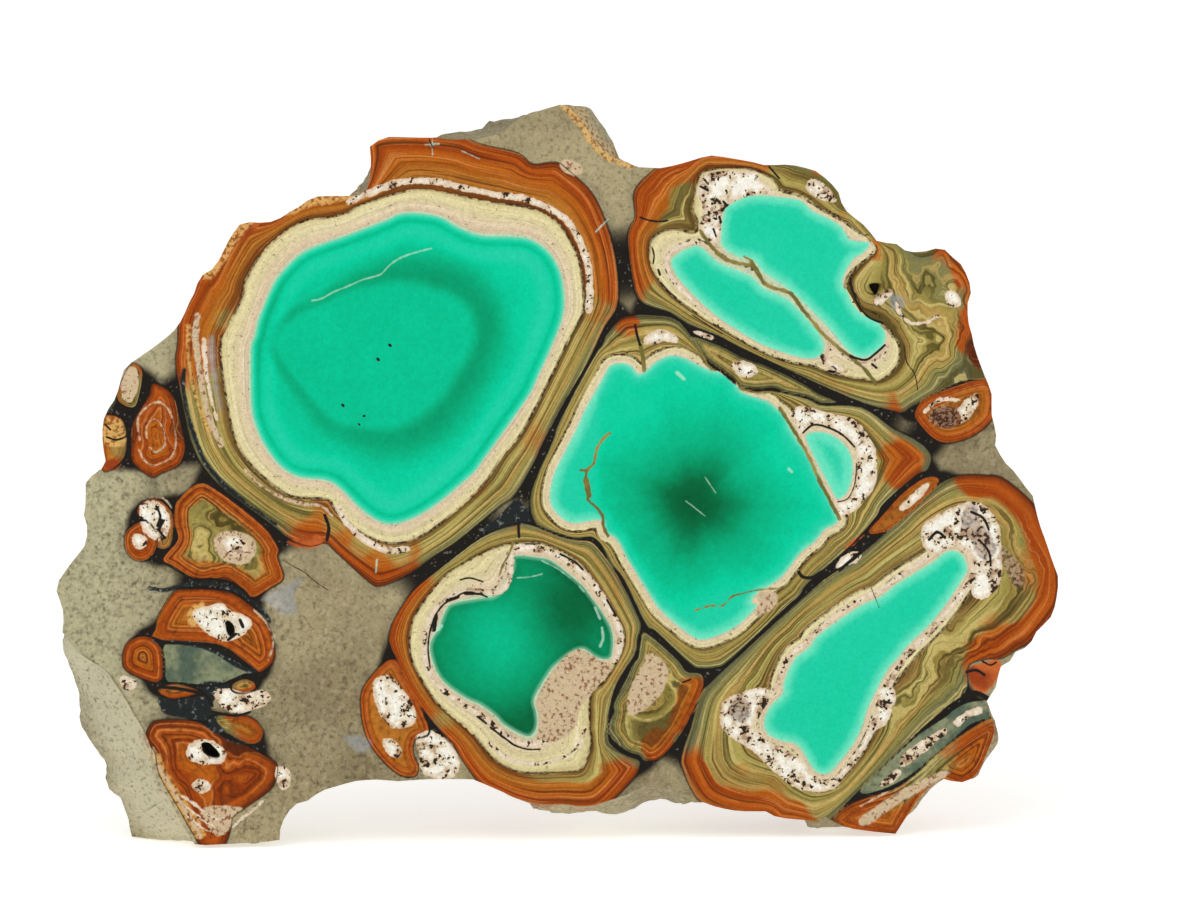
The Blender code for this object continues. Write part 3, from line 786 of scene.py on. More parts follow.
class Line:
    """A drawn line made smooth, with distances from it."""

    def __init__(self, points: Points, closed: bool, pieces: int = 4) -> None:
        """Rounds the line through its points.

        Args:
            points: The drawn points.
            closed: Whether the last point joins the first.
            pieces: Straight pieces between two points.
        """
        self.closed = closed
        self.points = self._rounded(np.array(points, float), pieces)
        self.low = self.points.min(axis=0)
        self.high = self.points.max(axis=0)

    def _rounded(self, points: np.ndarray, pieces: int) -> np.ndarray:
        """Runs a smooth curve through the points.

        Args:
            points: One row each.
            pieces: Straight pieces between two points.

        Returns:
            The points of the curve.
        """
        count = len(points)
        if self.closed:
            at = [np.roll(points, shift, axis=0) for shift in (1, 0, -1, -2)]
        else:
            ends = np.concatenate([points[:1], points, points[-1:]])
            at = [ends[shift:shift + count - 1] for shift in (0, 1, 2)]
            at.append(np.concatenate([ends[3:], ends[-1:]])[: count - 1])
        steps = []
        for part in np.arange(pieces) / pieces:
            bend = 0.5 * (
                2 * at[1]
                + (at[2] - at[0]) * part
                + (2 * at[0] - 5 * at[1] + 4 * at[2] - at[3]) * part**2
                + (3 * at[1] - at[0] - 3 * at[2] + at[3]) * part**3
            )
            steps.append(bend)
        curve = np.stack(steps, axis=1).reshape(-1, 2)
        return curve if self.closed else np.concatenate([curve, points[-1:]])

    def near(self, places: np.ndarray, reach: float) -> np.ndarray:
        """Marks the places no further than this from the line's box."""
        return ((places > self.low - reach) & (places < self.high + reach)).all(axis=1)

    def distance(self, places: np.ndarray) -> np.ndarray:
        """Measures the distance of each place from the line.

        Args:
            places: One row each.

        Returns:
            One distance each.
        """
        start = self.points
        end = np.roll(start, -1, axis=0) if self.closed else start[1:]
        start = start[: len(end)]
        way = end - start
        length = np.maximum((way**2).sum(axis=1), 1e-12)
        found = np.empty(len(places))
        for first in range(0, len(places), 4000):
            part = places[first:first + 4000, None, :]
            along = ((part - start) * way).sum(axis=2) / length
            gap = part - start - np.clip(along, 0.0, 1.0)[..., None] * way
            found[first:first + 4000] = np.sqrt((gap**2).sum(axis=2).min(axis=1))
        return found

    def within(self, places: np.ndarray) -> np.ndarray:
        """Tells which places the closed line goes round.

        Args:
            places: One row each.

        Returns:
            True or False each.
        """
        start = self.points
        end = np.roll(start, -1, axis=0)
        x, y = places[:, 0][:, None], places[:, 1][:, None]
        crosses = (start[:, 1] > y) != (end[:, 1] > y)
        rise = np.where(end[:, 1] == start[:, 1], 1.0, end[:, 1] - start[:, 1])
        at = start[:, 0] + (y - start[:, 1]) / rise * (end[:, 0] - start[:, 0])
        return (crosses & (x < at)).sum(axis=1) % 2 == 1

    def depth(self, places: np.ndarray, reach: float) -> np.ndarray:
        """Measures how deep each place lies inside the closed line, less than 0 outside.

        Args:
            places: One row each.
            reach: Distance beyond which places outside only get -reach.

        Returns:
            One depth each.
        """
        found = np.full(len(places), -reach)
        close = self.near(places, reach)
        if close.any():
            part = places[close]
            away = self.distance(part)
            found[close] = np.where(self.within(part), away, -np.minimum(away, reach))
        return found


def eased(values: np.ndarray, low: float, high: float) -> np.ndarray:
    """Rises smoothly from 0 at low to 1 at high.

    Args:
        values: What is eased.
        low: Where the rise starts.
        high: Where it ends.

    Returns:
        Values from 0 to 1.
    """
    part = np.clip((values - low) / (high - low), 0.0, 1.0)
    return part * part * (3.0 - 2.0 * part)


def around(drawn: np.ndarray, x: float, y: float, full: float, none: float) -> np.ndarray:
    """Falls smoothly from 1 to 0 round a drawn place.

    Args:
        drawn: Drawn places, one row each.
        x: Drawn x of the middle.
        y: Drawn y of the middle.
        full: Distance up to which it is 1.
        none: Distance from which it is 0.

    Returns:
        Values from 0 to 1.
    """
    return 1.0 - eased(np.hypot(drawn[:, 0] - x, drawn[:, 1] - y), full, none)


def glow(drawn: np.ndarray, middle: tuple[float, float], size: tuple[float, float]) -> np.ndarray:
    """Makes a soft round patch.

    Args:
        drawn: Drawn places, one row each.
        middle: Its middle.
        size: Its width and height.

    Returns:
        Values from 0 to 1.
    """
    return np.exp(-(((drawn - middle) / size) ** 2).sum(axis=1))


@dataclass
class FacePattern:
    """Works out at each place how the nodules, veins and patches lie."""

    drawing: Drawing
    markings: Markings = field(default_factory=Markings)
    reach: float = 75.0
    far: float = 400.0
    mark_reach: float = 12.0
    pale_left: tuple[float, float] = (100.0, 235.0)
    bare_from: tuple[float, float] = (0.6, 3.4)
    bead_gap: float = 6.5
    rusty_end: float = 0.66
    rind_end: float = 0.94
    heart: tuple[float, float] = (696.0, 503.0)
    deep_light: tuple[Points, float] = (((500.0, 640.0), (42.0, 46.0)), 0.22)
    deep_dark: tuple[Points, float] = (((572.0, 606.0), (40.0, 44.0)), -0.20)
    deep_foot: tuple[Points, float] = (((522.0, 722.0), (26.0, 22.0)), -0.16)

    def measure(self, places: np.ndarray) -> dict[str, np.ndarray]:
        """Measures the pattern at the places.

        Args:
            places: X and Z in metres, one row each.

        Returns:
            Values by name. Lengths are in millimetres, and more than 0 is inside.
        """
        drawn = self.drawing.drawn(places)
        scale = self.drawing.unit / MM
        found = self._nodules(drawn)
        for kind in fields(Markings):
            if kind.name != "swirls":
                found[kind.name] = self._marks(drawn, getattr(self.markings, kind.name)) * scale
        found["left"] = 1.0 - eased(drawn[:, 0], *self.pale_left)
        found["swirl"] = np.zeros(len(drawn))
        for x, y, radius in self.markings.swirls:
            here = around(drawn, x, y, radius * 0.5, radius * 1.3)
            found["swirl"] = np.maximum(found["swirl"], here)
        return found

    def _marks(self, drawn: np.ndarray, marks: tuple[Mark, ...]) -> np.ndarray:
        """Measures how deep each place lies in the nearest of these marks.

        Args:
            drawn: Drawn places, one row each.
            marks: Patches and lines.

        Returns:
            Depths in drawn units.
        """
        found = np.full(len(drawn), -self.mark_reach)
        for mark in marks:
            line = Line(mark.points, closed=mark.width == 0.0)
            close = line.near(drawn, self.mark_reach)
            if not close.any():
                continue
            if line.closed:
                depth = line.depth(drawn[close], self.mark_reach)
            else:
                depth = mark.width / 2 - line.distance(drawn[close])
            found[close] = np.maximum(found[close], depth)
        return found

    def _nodules(self, drawn: np.ndarray) -> dict[str, np.ndarray]:
        """Measures the rinds, creams and cores.

        Args:
            drawn: Drawn places, one row each.

        Returns:
            Values by name.
        """
        count = len(drawn)
        scale = self.drawing.unit / MM
        depths = [Line(nodule.rim, True).depth(drawn, self.reach) for nodule in NODULES]
        stack = np.array(depths)
        order = np.argsort(-stack, axis=0)
        first = np.take_along_axis(stack, order[:1], axis=0)[0]
        second = np.take_along_axis(stack, order[1:2], axis=0)[0]
        layer, core_in = np.zeros(count), np.full(count, -30.0)
        tone, rust, seed = np.full(count, 0.8), np.zeros(count), np.zeros(count)
        cream_in, beads = np.full(count, -40.0), np.full(count, 40.0)
        away = np.minimum(-second - np.maximum(first, 0.0), self.reach)
        bare = eased(away * scale, *self.bare_from)
        for number, nodule in enumerate(NODULES):
            own = (order[0] == number) & (first > -self.reach)
            if not own.any():
                continue
            at, deep = drawn[own], first[own]
            inner = self._core_depth(nodule, at)
            cream = self._cream_depth(nodule, at, deep, inner)
            out = np.maximum(deep, 0.0) / np.maximum(np.maximum(deep, 0.0) - cream, 1e-6)
            cream_part = cream / np.maximum(cream - inner, 1e-6)
            if nodule.core is Core.NONE:
                cream_part = cream / nodule.cream
                if nodule.inside is not Inside.CREAM:
                    out, cream = np.maximum(deep, 0.0) / nodule.rind, np.full(len(deep), -1.0)
                    out = np.minimum(out, self.rusty_end)
            level = np.clip(out, 0.0, self.rind_end)
            level = np.where(cream > 0, 1.0 + np.clip(cream_part, 0.0, 0.99), level)
            level = np.where(inner > 0, 2.0 + np.clip(inner / 40.0, 0.0, 1.0), level)
            layer[own] = level
            core_in[own] = inner
            tone[own] = self._tone(nodule, at, inner)
            orange = bare[own] + nodule.rust
            orange = orange - 1.2 * eased(deep, nodule.rust_reach * 0.75, nodule.rust_reach * 1.15)
            if nodule.inside is Inside.OLIVE:
                orange = orange - 1.6 * eased(deep, nodule.rind * 0.5, nodule.rind * 0.8)
            for x, y, radius, amount in nodule.spots:
                orange = orange + amount * around(at, x, y, radius * 0.4, radius * 1.3)
            rust[own] = -2.0 if nodule.inside is Inside.SLATE else np.clip(orange, -0.8, 1.5)
            cream_in[own] = cream
            if nodule.beaded:
                beads[own] = np.abs(inner + self.bead_gap)
            seed[own] = number
        return {
            "edge": first * scale,
            "gap": (-first - second) * scale,
            "layer": layer,
            "core_in": core_in * scale,
            "cream_in": np.maximum(cream_in, -40.0) * scale,
            "beads": beads * scale,
            "tone": tone,
            "orange": rust,
            "seed": seed,
        }

    def _core_depth(self, nodule: Nodule, at: np.ndarray) -> np.ndarray:
        """Measures how deep places lie in a nodule's green core, less than 0 outside it.

        Args:
            nodule: The nodule.
            at: Drawn places, one row each.

        Returns:
            Depths in drawn units.
        """
        found = np.full(len(at), -self.far)
        for outline in nodule.cores:
            found = np.maximum(found, Line(outline, True).depth(at, self.far))
        return found

    def _cream_depth(
        self, nodule: Nodule, at: np.ndarray, deep: np.ndarray, inner: np.ndarray
    ) -> np.ndarray:
        """Measures how deep places lie inside the line where the rind ends.

        Args:
            nodule: The nodule.
            at: Drawn places, one row each.
            deep: Depths inside the rim.
            inner: Depths inside the core.

        Returns:
            Depths in drawn units, less than 0 in the rind.
        """
        if nodule.bed:
            return Line(nodule.bed, True).depth(at, self.far)
        if nodule.cores:
            return np.minimum(nodule.cream + inner, deep - 2.0)
        return deep - nodule.rind

    def _tone(self, nodule: Nodule, at: np.ndarray, inner: np.ndarray) -> np.ndarray:
        """Works out how light the green is, from 0 for darkest to 1 for palest.

        Args:
            nodule: The nodule.
            at: Drawn places, one row each.
            inner: Depths inside the core.

        Returns:
            One tone each.
        """
        match nodule.core:
            case Core.RINGED:
                ring = Line(RING, True).depth(at, self.far)
                right = eased(at[:, 0], 300.0, 440.0)
                dip = 0.13 + 0.07 * right
                inside = 0.60 - dip * (1.0 - eased(ring, 0.0, 7.0 + 8.0 * right))
                fade = 10.0 + 26.0 * right + 8.0 * eased(at[:, 1], 380.0, 440.0)
                outside = 0.60 - dip + dip * eased(-ring, 2.0, fade) + 0.10 * eased(-ring, 8.0, 60.0)
                tone = np.where(ring > 0, inside, outside)
                line = np.exp(-(((inner - 8.0) / 2.2) ** 2))
                pale = 1.0 - eased(inner, 1.0, 7.0)
                wash = np.exp(-(((inner - 19.0) / 7.0) ** 2))
                return np.clip(tone + 0.14 * pale + 0.12 * wash - 0.14 * line, 0.0, 1.0)
            case Core.DARK_HEART:
                x, y = (at - self.heart).T
                angle = np.arctan2(y, x)
                uneven = 1.0 + 0.09 * np.sin(4 * angle + 0.4) + 0.05 * np.sin(7 * angle + 2.0)
                uneven = uneven + 0.02 * np.sin(13 * angle) + 0.02 * np.sin(23 * angle + 1.0)
                apart = np.hypot(x, y) / uneven
                tone = 0.12 + 0.34 * eased(apart, 8.0, 62.0) + 0.24 * eased(apart, 40.0, 125.0)
                left = 0.10 * (1.0 - eased(at[:, 0], 594.0, 604.0))
                pale = (1.0 - eased(inner, 0.0, 16.0)) * 0.22
                lobe = 0.14 * (Line(nodule.cores[1], True).depth(at, 10.0) > -2.0)
                low = 0.10 * eased(at[:, 1], 560.0, 625.0)
                return np.clip(tone + left + pale + lobe + low, 0.0, 1.0)
            case Core.DEEP:
                tone = 0.34 - 0.07 * (1.0 - eased(inner, 0.0, 14.0))
                for place, amount in (self.deep_light, self.deep_dark, self.deep_foot):
                    tone = tone + amount * glow(at, *place)
                return np.clip(tone, 0.0, 1.0)
            case Core.EVEN:
                return 0.82 + 0.20 * (1.0 - eased(inner, 0.0, 13.0)) - 0.05 * eased(inner, 10.0, 26.0)
        return np.full(len(at), 0.8)


class Value:
    """A shader socket that takes part in Python sums, each sum a Math node."""

    def __init__(self, bench: "Bench", socket: bpy.types.NodeSocket) -> None:
        """Wraps the socket of a material's node tree."""
        self.bench = bench
        self.socket = socket

    def __add__(self, other: "Value | float") -> "Value":
        """Adds."""
        return self.bench.math("ADD", self, other)

    def __radd__(self, other: float) -> "Value":
        """Adds to a number."""
        return self.bench.math("ADD", other, self)

    def __sub__(self, other: "Value | float") -> "Value":
        """Subtracts."""
        return self.bench.math("SUBTRACT", self, other)

    def __rsub__(self, other: float) -> "Value":
        """Subtracts from a number."""
        return self.bench.math("SUBTRACT", other, self)

    def __mul__(self, other: "Value | float") -> "Value":
        """Multiplies."""
        return self.bench.math("MULTIPLY", self, other)

    def __rmul__(self, other: float) -> "Value":
        """Multiplies a number."""
        return self.bench.math("MULTIPLY", other, self)

    def __abs__(self) -> "Value":
        """Takes the sign away."""
        return self.bench.math("ABSOLUTE", self)

    def most(self, other: "Value | float") -> "Value":
        """Takes the larger of the two."""
        return self.bench.math("MAXIMUM", self, other)

    def least(self, other: "Value | float") -> "Value":
        """Takes the smaller of the two."""
        return self.bench.math("MINIMUM", self, other)

    def eased(self, low: float, high: float) -> "Value":
        """Rises smoothly from 0 at low to 1 at high, or falls where high is the smaller.

        Args:
            low: Where it is 0.
            high: Where it is 1.

        Returns:
            A value from 0 to 1.
        """
        settings = {"interpolation_type": "SMOOTHSTEP"}
        inputs = {"Value": self, "From Min": low, "From Max": high}
        if high < low:
            inputs = {"Value": self, "From Min": high, "From Max": low, "To Min": 1.0, "To Max": 0.0}
        node = self.bench.node("ShaderNodeMapRange", settings, inputs)
        return Value(self.bench, node.outputs["Result"])


class Bench:
    """Adds nodes to one material."""

    def __init__(self, name: str) -> None:
        """Starts a material with its shader.

        Args:
            name: The material's name.
        """
        self.material = bpy.data.materials.new(name)
        self.material.use_nodes = True
        self.tree = self.material.node_tree
        self.shader = self.tree.nodes["Principled BSDF"]

    def node(
        self,
        kind: str,
        settings: dict[str, object] | None = None,
        inputs: dict[str | int, object] | None = None,
    ) -> bpy.types.Node:
        """Adds a node.

        Args:
            kind: The node's type.
            settings: Its settings, set first. A list of stops is set on its ramp.
            inputs: Values or links of its sockets, by name or number.

        Returns:
            The node.
        """
        node = self.tree.nodes.new(kind)
        for name, setting in (settings or {}).items():
            if name == "stops":
                self._set_stops(node, setting)
            else:
                setattr(node, name, setting)
        for name, value in (inputs or {}).items():
            self.feed(node.inputs[name], value)
        return node

    def _set_stops(self, node: bpy.types.Node, stops: tuple[tuple[float, Colour], ...]) -> None:
        """Sets the stops of a ramp.

        Args:
            node: The ramp's node.
            stops: A place and a colour each.
        """
        elements = node.color_ramp.elements
        while len(elements) < len(stops):
            elements.new(1.0)
        for element, (place, colour) in zip(elements, stops):
            element.position = place
            element.color = tint(colour)

    def feed(self, socket: bpy.types.NodeSocket, value: object) -> None:
        """Links a value to a socket, or sets the socket to a number or colour.

        Args:
            socket: What is fed.
            value: A value, a number or a colour.
        """
        if isinstance(value, Value):
            self.tree.links.new(value.socket, socket)
        else:
            socket.default_value = value

    def math(self, operation: str, *values: "Value | float") -> Value:
        """Adds a Math node.

        Args:
            operation: What it does.
            values: Its inputs in order.

        Returns:
            Its result.
        """
        node = self.node("ShaderNodeMath", {"operation": operation}, dict(enumerate(values)))
        return Value(self, node.outputs[0])

    def attribute(self, name: str) -> Value:
        """Reads a value that is stored on the mesh."""
        node = self.node("ShaderNodeAttribute", {"attribute_name": name})
        return Value(self, node.outputs["Fac"])

    def mix(self, part: Value | float, low: object, high: object) -> Value:
        """Blends two colours.

        Args:
            part: 0 for the first and 1 for the second.
            low: The first colour.
            high: The second colour.

        Returns:
            The blend.
        """
        inputs = {0: part, 6: as_tint(low), 7: as_tint(high)}
        node = self.node("ShaderNodeMix", {"data_type": "RGBA", "clamp_factor": True}, inputs)
        return Value(self, node.outputs[2])

    def tinted(self, colour: Value, shade: Value) -> Value:
        """Multiplies a colour by a grey.

        Args:
            colour: The colour.
            shade: How light the grey is, 1 for no change.

        Returns:
            The product.
        """
        settings = {"data_type": "RGBA", "blend_type": "MULTIPLY"}
        grey = self.node("ShaderNodeCombineColor", None, {0: shade, 1: shade, 2: shade})
        inputs = {0: 1.0, 6: colour, 7: Value(self, grey.outputs[0])}
        return Value(self, self.node("ShaderNodeMix", settings, inputs).outputs[2])

    def ramp(self, value: Value, stops: tuple[tuple[float, Colour], ...]) -> Value:
        """Turns a value into a colour by a ramp of stops."""
        node = self.node("ShaderNodeValToRGB", {"stops": stops}, {"Fac": value})
        return Value(self, node.outputs["Color"])

    def bump(self, height: Value, strength: float, distance: float) -> None:
        """Raises the surface in small.

        Args:
            height: The height, 1 for the whole distance.
            strength: How much of it counts.
            distance: The distance in metres.
        """
        inputs = {"Strength": strength, "Distance": distance, "Height": height}
        raised = self.node("ShaderNodeBump", None, inputs)
        self.feed(self.shader.inputs["Normal"], Value(self, raised.outputs["Normal"]))

    def place(self) -> Value:
        """Reads the place in the object's own coordinates."""
        return Value(self, self.node("ShaderNodeTexCoord").outputs["Object"])

    def grain(self, scale: float, detail: float, start: tuple[float, float, float]) -> Value:
        """Adds an even noise on object coordinates.

        Args:
            scale: Grains to a metre.
            detail: Finer layers.
            start: Where the noise starts, so that two differ.

        Returns:
            A value near a half.
        """
        moved = self.node("ShaderNodeMapping", None, {"Vector": self.place(), "Location": start})
        inputs = {"Vector": Value(self, moved.outputs[0]), "Scale": scale, "Detail": detail}
        return Value(self, self.node("ShaderNodeTexNoise", None, inputs).outputs[0])

    def bands(self, level: Value, scale: float) -> Value:
        """Adds a noise that changes fast with the level and slowly along the face.

        Args:
            level: What the bands follow.
            scale: Changes to a metre along the face.

        Returns:
            A value near a half.
        """
        stretched = self.node("ShaderNodeVectorMath", {"operation": "SCALE"},
                              {0: self.place(), "Scale": scale})
        inputs = {"Vector": Value(self, stretched.outputs[0]), "W": level, "Scale": 1.0, "Detail": 2.0}
        node = self.node("ShaderNodeTexNoise", {"noise_dimensions": "4D"}, inputs)
        return Value(self, node.outputs[0])


def tint(colour: Colour) -> tuple[float, float, float, float]:
    """Turns a screen colour from 0 to 255 into the shader's own numbers.

    Args:
        colour: Red, green and blue.

    Returns:
        Red, green, blue and 1.
    """
    parts = [part / 255.0 for part in colour]
    line = [p / 12.92 if p <= 0.04045 else ((p + 0.055) / 1.055) ** 2.4 for p in parts]
    return (line[0], line[1], line[2], 1.0)


def as_tint(colour: object) -> object:
    """Leaves a link as it is and turns a screen colour into the shader's numbers."""
    return colour if isinstance(colour, Value) else tint(colour)


class Grain(Enum):
    """The noises that colours follow."""

    FINE = "fine grain"
    SOFT = "soft cloud"
    WIDE = "wide cloud"
    GRIT = "grit"
    FLECKS = "flecks"
    PORES = "pores"
    CLUMPS = "clumps"
    LINES = "bands"
    THREADS = "thin bands"


@dataclass(frozen=True)
class Streak:
    """A colour that shows as a noise goes from low to high, and how much of it."""

    grain: Grain
    low: float
    high: float
    share: float
    colour: Colour


@dataclass(frozen=True)
class Patch:
    """How a kind of mark looks.

    Args:
        name: Stored value that says how deep a place lies in such a mark.
        ragged: How uneven its edge is.
        low: Depth in millimetres where it starts.
        high: Depth where it is full.
        share: How much of it covers what is below.
        grain: Noise that mixes its two colours.
        turn: Where the noise passes from the first colour to the second.
        colour: First colour.
        other: Second colour.
    """

    name: str
    ragged: float
    low: float
    high: float
    share: float
    grain: Grain
    turn: tuple[float, float]
    colour: Colour
    other: Colour


@dataclass
class PolishedFace:
    """The sawn and polished face with its nodules."""

    grains: tuple[tuple[Grain, float, float, tuple[float, float, float]], ...] = (
        (Grain.FINE, 900.0, 3.0, (0.0, 0.0, 0.0)),
        (Grain.SOFT, 140.0, 3.0, (0.3, 0.1, 0.2)),
        (Grain.WIDE, 38.0, 3.0, (0.7, 0.4, 0.1)),
        (Grain.GRIT, 650.0, 2.0, (0.3, 0.2, 0.6)),
        (Grain.FLECKS, 1500.0, 2.0, (0.2, 0.9, 0.4)),
        (Grain.PORES, 1500.0, 2.0, (0.9, 0.2, 0.3)),
        (Grain.CLUMPS, 420.0, 2.0, (0.4, 0.8, 0.1)),
    )
    orange: tuple[tuple[float, Colour], ...] = (
        (0.00, (88, 38, 14)), (0.05, (140, 60, 16)), (0.14, (180, 84, 20)), (0.26, (154, 62, 12)),
        (0.40, (184, 95, 22)), (0.55, (164, 88, 20)), (0.70, (186, 118, 42)), (0.86, (138, 80, 28)),
        (1.00, (80, 42, 18)),
    )
    olive: tuple[tuple[float, Colour], ...] = (
        (0.00, (92, 92, 66)), (0.14, (122, 120, 78)), (0.30, (150, 138, 72)), (0.44, (186, 152, 84)),
        (0.58, (132, 118, 54)), (0.74, (178, 162, 90)), (0.88, (142, 112, 56)), (1.00, (84, 60, 30)),
    )
    cream: tuple[tuple[float, Colour], ...] = (
        (0.00, (200, 182, 130)), (0.22, (230, 218, 166)), (0.45, (216, 202, 156)), (0.68, (226, 206, 172)),
        (0.86, (216, 192, 162)), (1.00, (186, 214, 178)),
    )
    green: tuple[tuple[float, Colour], ...] = (
        (0.00, (0, 66, 36)), (0.18, (0, 106, 62)), (0.35, (0, 146, 98)), (0.52, (0, 180, 130)),
        (0.68, (0, 205, 158)), (0.84, (36, 207, 168)), (1.00, (100, 226, 190)),
    )
    orange_streaks: tuple[Streak, ...] = (
        Streak(Grain.LINES, 0.44, 0.34, 0.6, (112, 46, 14)),
        Streak(Grain.LINES, 0.56, 0.66, 0.5, (198, 114, 38)),
        Streak(Grain.THREADS, 0.46, 0.36, 0.7, (88, 36, 14)),
        Streak(Grain.THREADS, 0.57, 0.66, 0.45, (222, 152, 86)),
    )
    olive_streaks: tuple[Streak, ...] = (
        Streak(Grain.LINES, 0.46, 0.38, 0.8, (86, 76, 34)),
        Streak(Grain.LINES, 0.56, 0.64, 0.7, (208, 188, 118)),
        Streak(Grain.THREADS, 0.46, 0.36, 0.75, (66, 54, 24)),
        Streak(Grain.THREADS, 0.60, 0.68, 0.5, (206, 170, 98)),
    )
    cream_streaks: tuple[Streak, ...] = (
        Streak(Grain.THREADS, 0.46, 0.36, 0.35, (176, 150, 108)),
        Streak(Grain.LINES, 0.58, 0.68, 0.5, (238, 226, 196)),
        Streak(Grain.FLECKS, 0.66, 0.73, 0.7, (124, 84, 56)),
    )
    stone_streaks: tuple[Streak, ...] = (
        Streak(Grain.GRIT, 0.50, 0.70, 0.22, (196, 186, 156)),
        Streak(Grain.FLECKS, 0.50, 0.70, 0.5, (104, 94, 70)),
    )
    under_chalk: tuple[Patch, ...] = (
        Patch("slate", 1.0, -0.5, 0.9, 0.62, Grain.SOFT, (0.4, 0.6), (146, 150, 154), (176, 176, 174)),
        Patch("dark", 0.8, -0.15, 0.25, 1.0, Grain.FINE, (0.56, 0.70), (36, 40, 40), (112, 116, 110)),
        Patch("rust", 1.0, -0.2, 0.4, 1.0, Grain.SOFT, (0.4, 0.6), (150, 62, 24), (196, 100, 48)),
        Patch("ochre", 0.9, -0.2, 0.5, 0.8, Grain.PORES, (0.48, 0.62), (226, 178, 104), (150, 96, 46)),
        Patch("pink", 0.7, -0.15, 0.25, 1.0, Grain.PORES, (0.54, 0.66), (206, 182, 148), (146, 102, 74)),
    )
    over_chalk: tuple[Patch, ...] = (
        Patch("umber", 1.2, -0.5, 0.3, 0.7, Grain.PORES, (0.46, 0.56), (176, 146, 122), (74, 52, 44)),
    )
    matrix: Colour = (172, 159, 122)
    matrix_dark: Colour = (142, 129, 97)
    matrix_sandy: Colour = (152, 130, 92)
    matrix_left: Colour = (190, 184, 148)
    broken_left: Colour = (186, 178, 146)
    broken_edge: Colour = (120, 104, 70)
    matrix_shade: Colour = (84, 78, 64)
    moss: Colour = (84, 100, 84)
    moss_pale: Colour = (138, 144, 112)
    black: Colour = (30, 27, 24)
    black_fleck: Colour = (120, 114, 104)
    seam: Colour = (52, 28, 14)
    bead: Colour = (48, 36, 28)
    halo: Colour = (150, 226, 194)
    chalk: Colour = (246, 241, 228)
    chalk_warm: Colour = (226, 208, 180)
    chalk_edge: Colour = (218, 190, 158)
    chalk_clump: Colour = (158, 116, 84)
    chalk_pore: Colour = (52, 40, 32)
    vein: Colour = (112, 104, 52)
    vein_pale: Colour = (156, 140, 76)
    # Pale green-white of the scratches, also used for the painted glints.
    scratch_and_glint: Colour = (190, 238, 214)
    crack: Colour = (34, 30, 26)
    bench: Bench = field(init=False)
    noises: dict[Grain, Value] = field(init=False)

    def build(self) -> bpy.types.Material:
        """Makes the material.

        Returns:
            The material.
        """
        bench = self.bench = Bench("polished_face")
        noises = {kind: bench.grain(scale, detail, start) for kind, scale, detail, start in self.grains}
        self.noises = noises
        fine, soft, flecks = noises[Grain.FINE], noises[Grain.SOFT], noises[Grain.FLECKS]
        ragged = (fine - 0.5) * 0.5
        edge = bench.attribute("edge")
        colour = self._matrix(edge)
        colour = bench.mix((edge + ragged * 0.3).eased(-0.08, 0.08), colour, self._rind())
        seam = (abs(bench.attribute("cream_in") - 0.1) + ragged * 0.7).eased(0.34, 0.12)
        seam = seam * (soft.eased(0.36, 0.50) * 0.55 + flecks.eased(0.50, 0.57) * 0.4)
        colour = bench.mix(seam, colour, self.seam)
        beads = (bench.attribute("beads") + ragged * 0.6).eased(0.34, 0.12) * flecks.eased(0.49, 0.56)
        colour = bench.mix(beads, colour, self.bead)
        core_in = bench.attribute("core_in")
        colour = bench.mix((core_in + ragged * 0.5).eased(-0.12, 0.12), colour, self._core(core_in))
        colour = self._patched(colour, self.under_chalk)
        colour = self._chalked(colour)
        colour = self._patched(colour, self.over_chalk)
        vein = (bench.attribute("vein") + (fine - 0.5) * 0.7).eased(-0.12, 0.12)
        filling = bench.mix(soft.eased(0.42, 0.6), self.vein, self.vein_pale)
        colour = bench.mix(vein, colour, filling)
        outline = (abs(edge + 0.12) + ragged * 0.35).eased(0.34, 0.10)
        outline = outline * bench.attribute("gap").eased(7.0, 2.2)
        line = (abs(edge + 0.05) + ragged * 0.3).eased(0.22, 0.04) * 0.75
        colour = bench.mix(outline.most(line), colour, self.black)
        # Pale lines: light scratches, and painted glints along a crystal rim and in a cavity.
        pale = (bench.attribute("pale") + ragged * 0.7).eased(-0.14, 0.16) * 0.55
        colour = bench.mix(pale, colour, self.scratch_and_glint)
        crack = (bench.attribute("crack") + ragged * 0.5).eased(-0.10, 0.10)
        colour = bench.mix(crack, colour, self.crack)
        speck = bench.grain(2400.0, 2.0, (0.5, 0.2, 0.7))
        rough = core_in.eased(0.3, -0.2) * 0.3 + 0.24
        colour = bench.tinted(colour, 1.0 + ((speck - 0.5) + (fine - 0.5) * 0.6) * rough)
        bench.feed(bench.shader.inputs["Base Color"], colour)
        chalk = bench.attribute("chalk").eased(-0.1, 0.1)
        bench.feed(bench.shader.inputs["Roughness"], 0.30 + chalk * 0.3 + (soft - 0.5) * 0.1)
        bench.feed(bench.shader.inputs["Specular IOR Level"], 0.05)
        bench.bump(fine * (chalk * 0.9 + 0.1), strength=0.25, distance=0.25 * MM)
        return bench.material

    def _streaked(self, colour: Value, streaks: tuple[Streak, ...]) -> Value:
        """Lays streaks over a colour.

        Args:
            colour: The colour so far.
            streaks: What is laid over it, in order.

        Returns:
            The colour with the streaks.
        """
        for streak in streaks:
            part = self.noises[streak.grain].eased(streak.low, streak.high) * streak.share
            colour = self.bench.mix(part, colour, streak.colour)
        return colour

    def _patched(self, colour: Value, patches: tuple[Patch, ...]) -> Value:
        """Lays kinds of marks over a colour.

        Args:
            colour: The colour so far.
            patches: What is laid over it, in order.

        Returns:
            The colour with the marks.
        """
        ragged = self._ragged()
        for patch in patches:
            depth = self.bench.attribute(patch.name) + ragged * patch.ragged
            fill = self.bench.mix(self.noises[patch.grain].eased(*patch.turn), patch.colour, patch.other)
            colour = self.bench.mix(depth.eased(patch.low, patch.high) * patch.share, colour, fill)
        return colour

